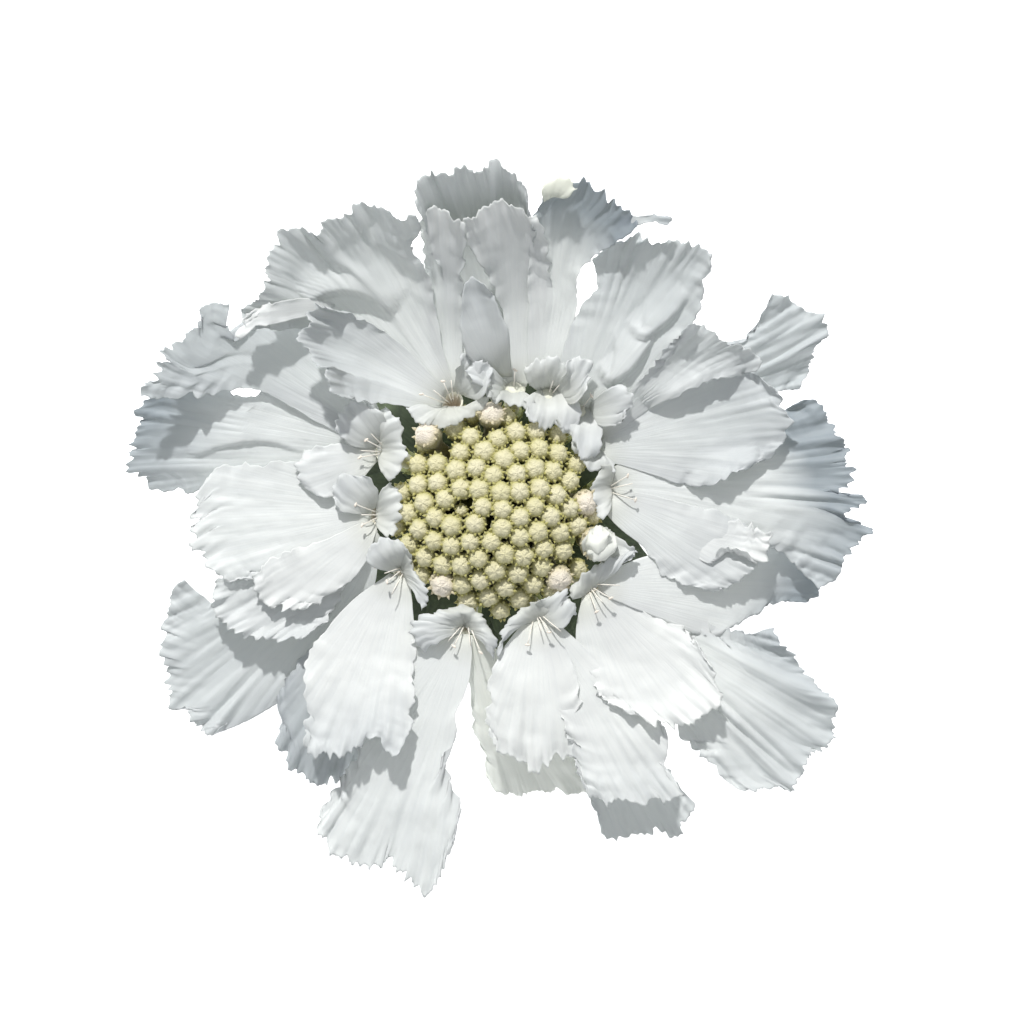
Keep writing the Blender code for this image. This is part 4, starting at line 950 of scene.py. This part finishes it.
def ray_florets(surfaces):
    """The ray florets: lobes, tube and stamens."""
    for number, (node, (throat, lobes)) in enumerate(RAYS.items()):
        shells = Shells()
        for place, shape in enumerate(lobes):
            shells.sheet(*blade(shape, number * LOBE_SEEDS + place + 1, throat), PETAL_KIND)
        funnel(shells, throat, STAMENS[number] >= OPEN_FROM)
        stamens(shells, throat, number + 1, STAMENS[number])
        shells.piece(f"petals_{number + 1:02d}", surfaces, "petal_white", node)


def bud(shells, foot, top, radius, seed, lobes=5):
    """One bud on its narrow calyx, with soft lobes closed at its top and short bristles."""
    line = top - foot
    ahead, aside, up = frame_of(line)
    angles, circle_points = circle(30, aside, up)
    turn = seed * BUD_TURN
    seam = np.abs(np.sin(lobes * (angles + turn) / 2))
    outline = through([*BUD_OUTLINE, (0.5, np.linalg.norm(line) / radius)], 20)[::-1]
    rings = []
    for share, drop in outline:
        near_top = math.exp(-((drop / 0.9) ** 2))
        wide = radius * share * (1 + 0.11 * (seam - 0.6) * (1 - 0.4 * near_top))
        wide = wide * (1 + 0.05 * noise(angles * 3, drop * 3, seed))
        sunk = radius * (drop + 0.12 * near_top * (1 - seam) ** 2 * min(1, share * 3))
        rings.append(top - ahead * sunk[:, None] + wide[:, None] * circle_points)
    shells.lathe(rings, 0, angles, outline[:, 1], 0.5 + 0.5 * noise(seed * 3.7, 0.5, 9))
    for number in range(BUD_BRISTLES):
        angle = math.tau * (number + 0.35 * noise(number * 3.3, 0.5, seed)) / BUD_BRISTLES + turn
        outward = math.cos(angle) * aside + math.sin(angle) * up
        height = radius * (0.62 + 0.22 * noise(number * 5.1, 1.5, seed))
        root = top - ahead * height + outward * radius * 0.84
        reach = radius * (0.34 + 0.12 * noise(number * 7.7, 2.5, seed))
        tip = root + (outward * 0.85 + ahead * 0.5) * reach
        spine = [root, (root + tip) / 2 + ahead * 0.03, tip]
        shells.lathe(rings_along(spine, BUD_BRISTLE, 5), 0, along=0.6)


def bud_place(number):
    """The foot and top of a bud of the disc."""
    distance, angle = BUD_SPREAD * math.sqrt(number + 0.5), TURN_START + number * TURN
    foot_distance = distance * (1 - BUD_LEAN)
    height = np.interp(foot_distance, *zip(*RECEPTACLE[:2:-1]))
    foot = DISC_CENTRE + polar(foot_distance, angle, height)
    return foot, DISC_CENTRE + polar(distance, angle, DISC_TOP - DISC_DROP * distance**2)


def nearest_bud(numbers, places, at):
    """The bud whose top is nearest to a place."""
    return min(numbers, key=lambda number: math.dist(places[number][1][:2], at))


def disc(bud_surface, cream_surface, core_surface):
    """The receptacle with its inner buds as one piece, and the rim's buds one by one."""
    inner = Shells()
    angles, circle_points = circle(72)
    profile = through(RECEPTACLE, 40)
    rings = [max(radius, 0.05) * circle_points + (0, 0, height) for radius, height in profile]
    inner.lathe(rings, 1, angles, np.linspace(0, 10, len(rings)))
    places = [bud_place(number) for number in range(BUD_COUNT + LOW_BUDS)]
    hollow = nearest_bud(range(RIM_BUD_FIRST), places, HOLLOW_AT)
    for number, (foot, top) in enumerate(places[:RIM_BUD_FIRST]):
        low = number == hollow
        size = HOLLOW_SIZE if low else 1 + 0.08 * noise(number * 1.7, 0.5, 3)
        bud(inner, foot - (0, 0, 0.4), top - (0, 0, HOLLOW_DEPTH * low), BUD_RADIUS * size, number + 1)
    for number, (foot, top) in enumerate(places[BUD_COUNT:], BUD_COUNT):
        bud(inner, foot, top, BUD_RADIUS * 0.9, number + 1)
    inner.piece("disc_buds", [bud_surface, core_surface], "receptacle_green", "receptacle")
    rim = [number for number in range(RIM_BUD_FIRST, BUD_COUNT) if number != OPENED_BUD]
    cream = {nearest_bud(rim, places, at): at for at in CREAM_BUDS}
    for place, number in enumerate(rim, 1):
        shells = Shells()
        foot, top = places[number]
        surface, radius = bud_surface, BUD_RADIUS
        if number in cream:
            surface, radius = cream_surface, CREAM_RADIUS
            top = np.array((*cream[number], top[2] + CREAM_RISE))
        bud(shells, foot, top, radius, number + 1)
        shells.piece(f"outer_bud_{place:02d}", [surface], "bud_green", f"rim_bud_{place:02d}")


def half_open_floret(surfaces):
    """The floret that is still opening, on its calyx."""
    shells = Shells()
    foot = np.array(polar(HALF_OPEN_FOOT[0], math.atan2(*HALF_OPEN_AT[::-1]), HALF_OPEN_FOOT[1]))
    bud(shells, foot, np.array((*HALF_OPEN_AT, HALF_OPEN_HEIGHT)), HALF_OPEN_RADIUS, HALF_OPEN_SEED, lobes=3)
    for number, petal in enumerate(HALF_OPEN_PETALS, 1):
        shells.sheet(*blade(petal, HALF_OPEN_SEED + number), 1)
    shells.piece("opening_floret", surfaces, "opening_petal", "half_open_floret")


def bract(number, whorl):
    """A bract's grid of points and its grain. The upper whorl stands over the gaps of the lower one."""
    angle = BRACT_FIRST + (number + whorl / 2) * math.tau / BRACT_COUNT
    out, side = np.array(polar(1, angle, 0)), np.array(polar(1, angle + math.pi / 2, 0))
    spine = through(BRACT_SPINE, BRACT_ROWS)
    widths = through(list(enumerate(BRACT_WIDTHS)), BRACT_ROWS)[:, 1:]
    across = np.linspace(-0.5, 0.5, BRACT_COLUMNS)
    s = np.linspace(0, 1, BRACT_ROWS)[:, None]
    wide = across * widths * (1 + 0.06 * noise(s * 14, np.sign(across), number + 30 * whorl))
    rise = MARGIN_RISE * (2 * np.abs(across)) ** 1.5 * np.sin(np.pi * s)
    rise = rise + RIB_RISE * np.exp(-((wide / RIB_WIDTH) ** 2))
    rise = rise + 0.08 * noise(s * 9, across * 5, number + 20 + 30 * whorl)
    lift = (BRACT_LIFT * (number % 2) + WHORL_LIFT * whorl) * np.sin(np.pi * s * 0.9)
    height = spine[:, 1:] + rise * 0.7 + lift
    grid = out * spine[:, :1, None] + side * wide[..., None] + (0, 0, 1) * height[..., None]
    return grid, np.dstack([wide, 12 * s + 0 * wide, 0 * wide])


def bracts(surface):
    """The green bracts under the head, each with its neighbour in the upper whorl."""
    for number in range(BRACT_COUNT):
        shells = Shells()
        for whorl in (0, 1):
            shells.sheet(*bract(number, whorl), BRACT_THICKNESS)
        shells.piece(f"leafy_bract_{number + 1:02d}", [surface], "bract_green", f"bract_{number + 1:02d}")


def stem(surfaces):
    """The short cut stem, ribbed outside."""
    shells = Shells()
    angles, circle_points = circle(64)
    ribs = 1 + STEM_RIB_DEPTH * np.cos(STEM_RIBS * angles)[:, None]
    profile = through(STEM_PROFILE, 24)
    rings = [radius * ribs * circle_points + (0, 0, height) for radius, height in profile]
    shells.lathe(rings, 0, angles * 1.4, profile[:, 1])
    shells.piece("cut_stem", surfaces, "stem_green", "stem")


# Floor, light and camera.


def stage():
    """A pale floor, a low sun from above the head's top edge, and soft light from all round."""
    scene = bpy.context.scene
    mesh = bpy.data.meshes.new("floor")
    corners = [(x * FLOOR_HALF, y * FLOOR_HALF, 0) for x, y in ((-1, -1), (1, -1), (1, 1), (-1, 1))]
    mesh.from_pydata(corners, [], [(0, 1, 2, 3)])
    floor = placed("floor", mesh)
    made = Surface("floor", 0.9)
    made.colour(made.ramp(made.noise(30.0, 2.0), (0.3, (0.93, 0.93, 0.93)), (0.7, (0.95, 0.95, 0.95))))
    made.shader.inputs["Emission Color"].default_value = (1, 1, 1, 1)
    made.shader.inputs["Emission Strength"].default_value = FLOOR_GLOW
    mesh.materials.append(made.material)

    sun = bpy.data.lights.new("key", "SUN")
    sun.energy, sun.angle, sun.color = SUN_POWER, math.radians(SUN_SIZE), (1.0, 0.99, 0.97)
    bearing, rise = math.radians(SUN_BEARING), math.radians(SUN_RISE)
    towards = Vector(polar(math.cos(rise), bearing, math.sin(rise)))
    placed("key", sun).rotation_euler = (-towards).to_track_quat("-Z", "Y").to_euler()

    scene.world = bpy.data.worlds.new("world")
    scene.world.use_nodes = True
    sky = scene.world.node_tree.nodes["Background"]
    sky.inputs["Color"].default_value = (0.94, 0.97, 1.0, 1)
    sky.inputs["Strength"].default_value = SKY_POWER

    data = bpy.data.cameras.new("camera")
    data.sensor_width, data.lens = SENSOR, SENSOR * CAMERA_AWAY / VIEW_ACROSS
    data.clip_start, data.clip_end = 0.05, 10
    camera = placed("camera", data)
    camera.location = (*(AXIS[:2] * MM + CAMERA_ASIDE), CAMERA_HEIGHT)
    scene.camera = camera
    scene.view_settings.view_transform = "Standard"
    scene.view_settings.look = "None"


def main():
    """All the pieces with their materials, then the stage."""
    petal = petal_material()
    filament = plain_material("filament", (0.90, 0.87, 0.80), (0.84, 0.79, 0.70), 0.6, 2500.0)
    anther = plain_material("anther", (0.88, 0.82, 0.74), (0.80, 0.72, 0.62), 0.7, 4000.0)
    calyx = green_material("calyx", (0.52, 0.55, 0.30), (0.30, 0.34, 0.13), 0.8)
    ray_florets([petal, filament, anther, tube_material(), calyx])
    # each bud's third colour, at its foot, is painted shade between the buds
    green_bud = bud_material("green_bud", (0.73, 0.685, 0.43), (0.50, 0.47, 0.165), (0.27, 0.25, 0.055))
    cream_bud = bud_material("cream_bud", (0.86, 0.78, 0.68), (0.74, 0.66, 0.46), (0.22, 0.20, 0.06))
    # the receptacle's dark green is its own green made darker as painted shade between the buds
    disc(green_bud, cream_bud, green_material("receptacle", (0.25, 0.26, 0.07), (0.12, 0.13, 0.03), 0.8))
    half_open_floret([cream_bud, petal])
    bracts(green_material("bract", (0.06, 0.085, 0.04), (0.03, 0.045, 0.02), 0.65))
    stem([green_material("stem", (0.20, 0.28, 0.09), (0.11, 0.17, 0.05), 0.6)])
    stage()


main()
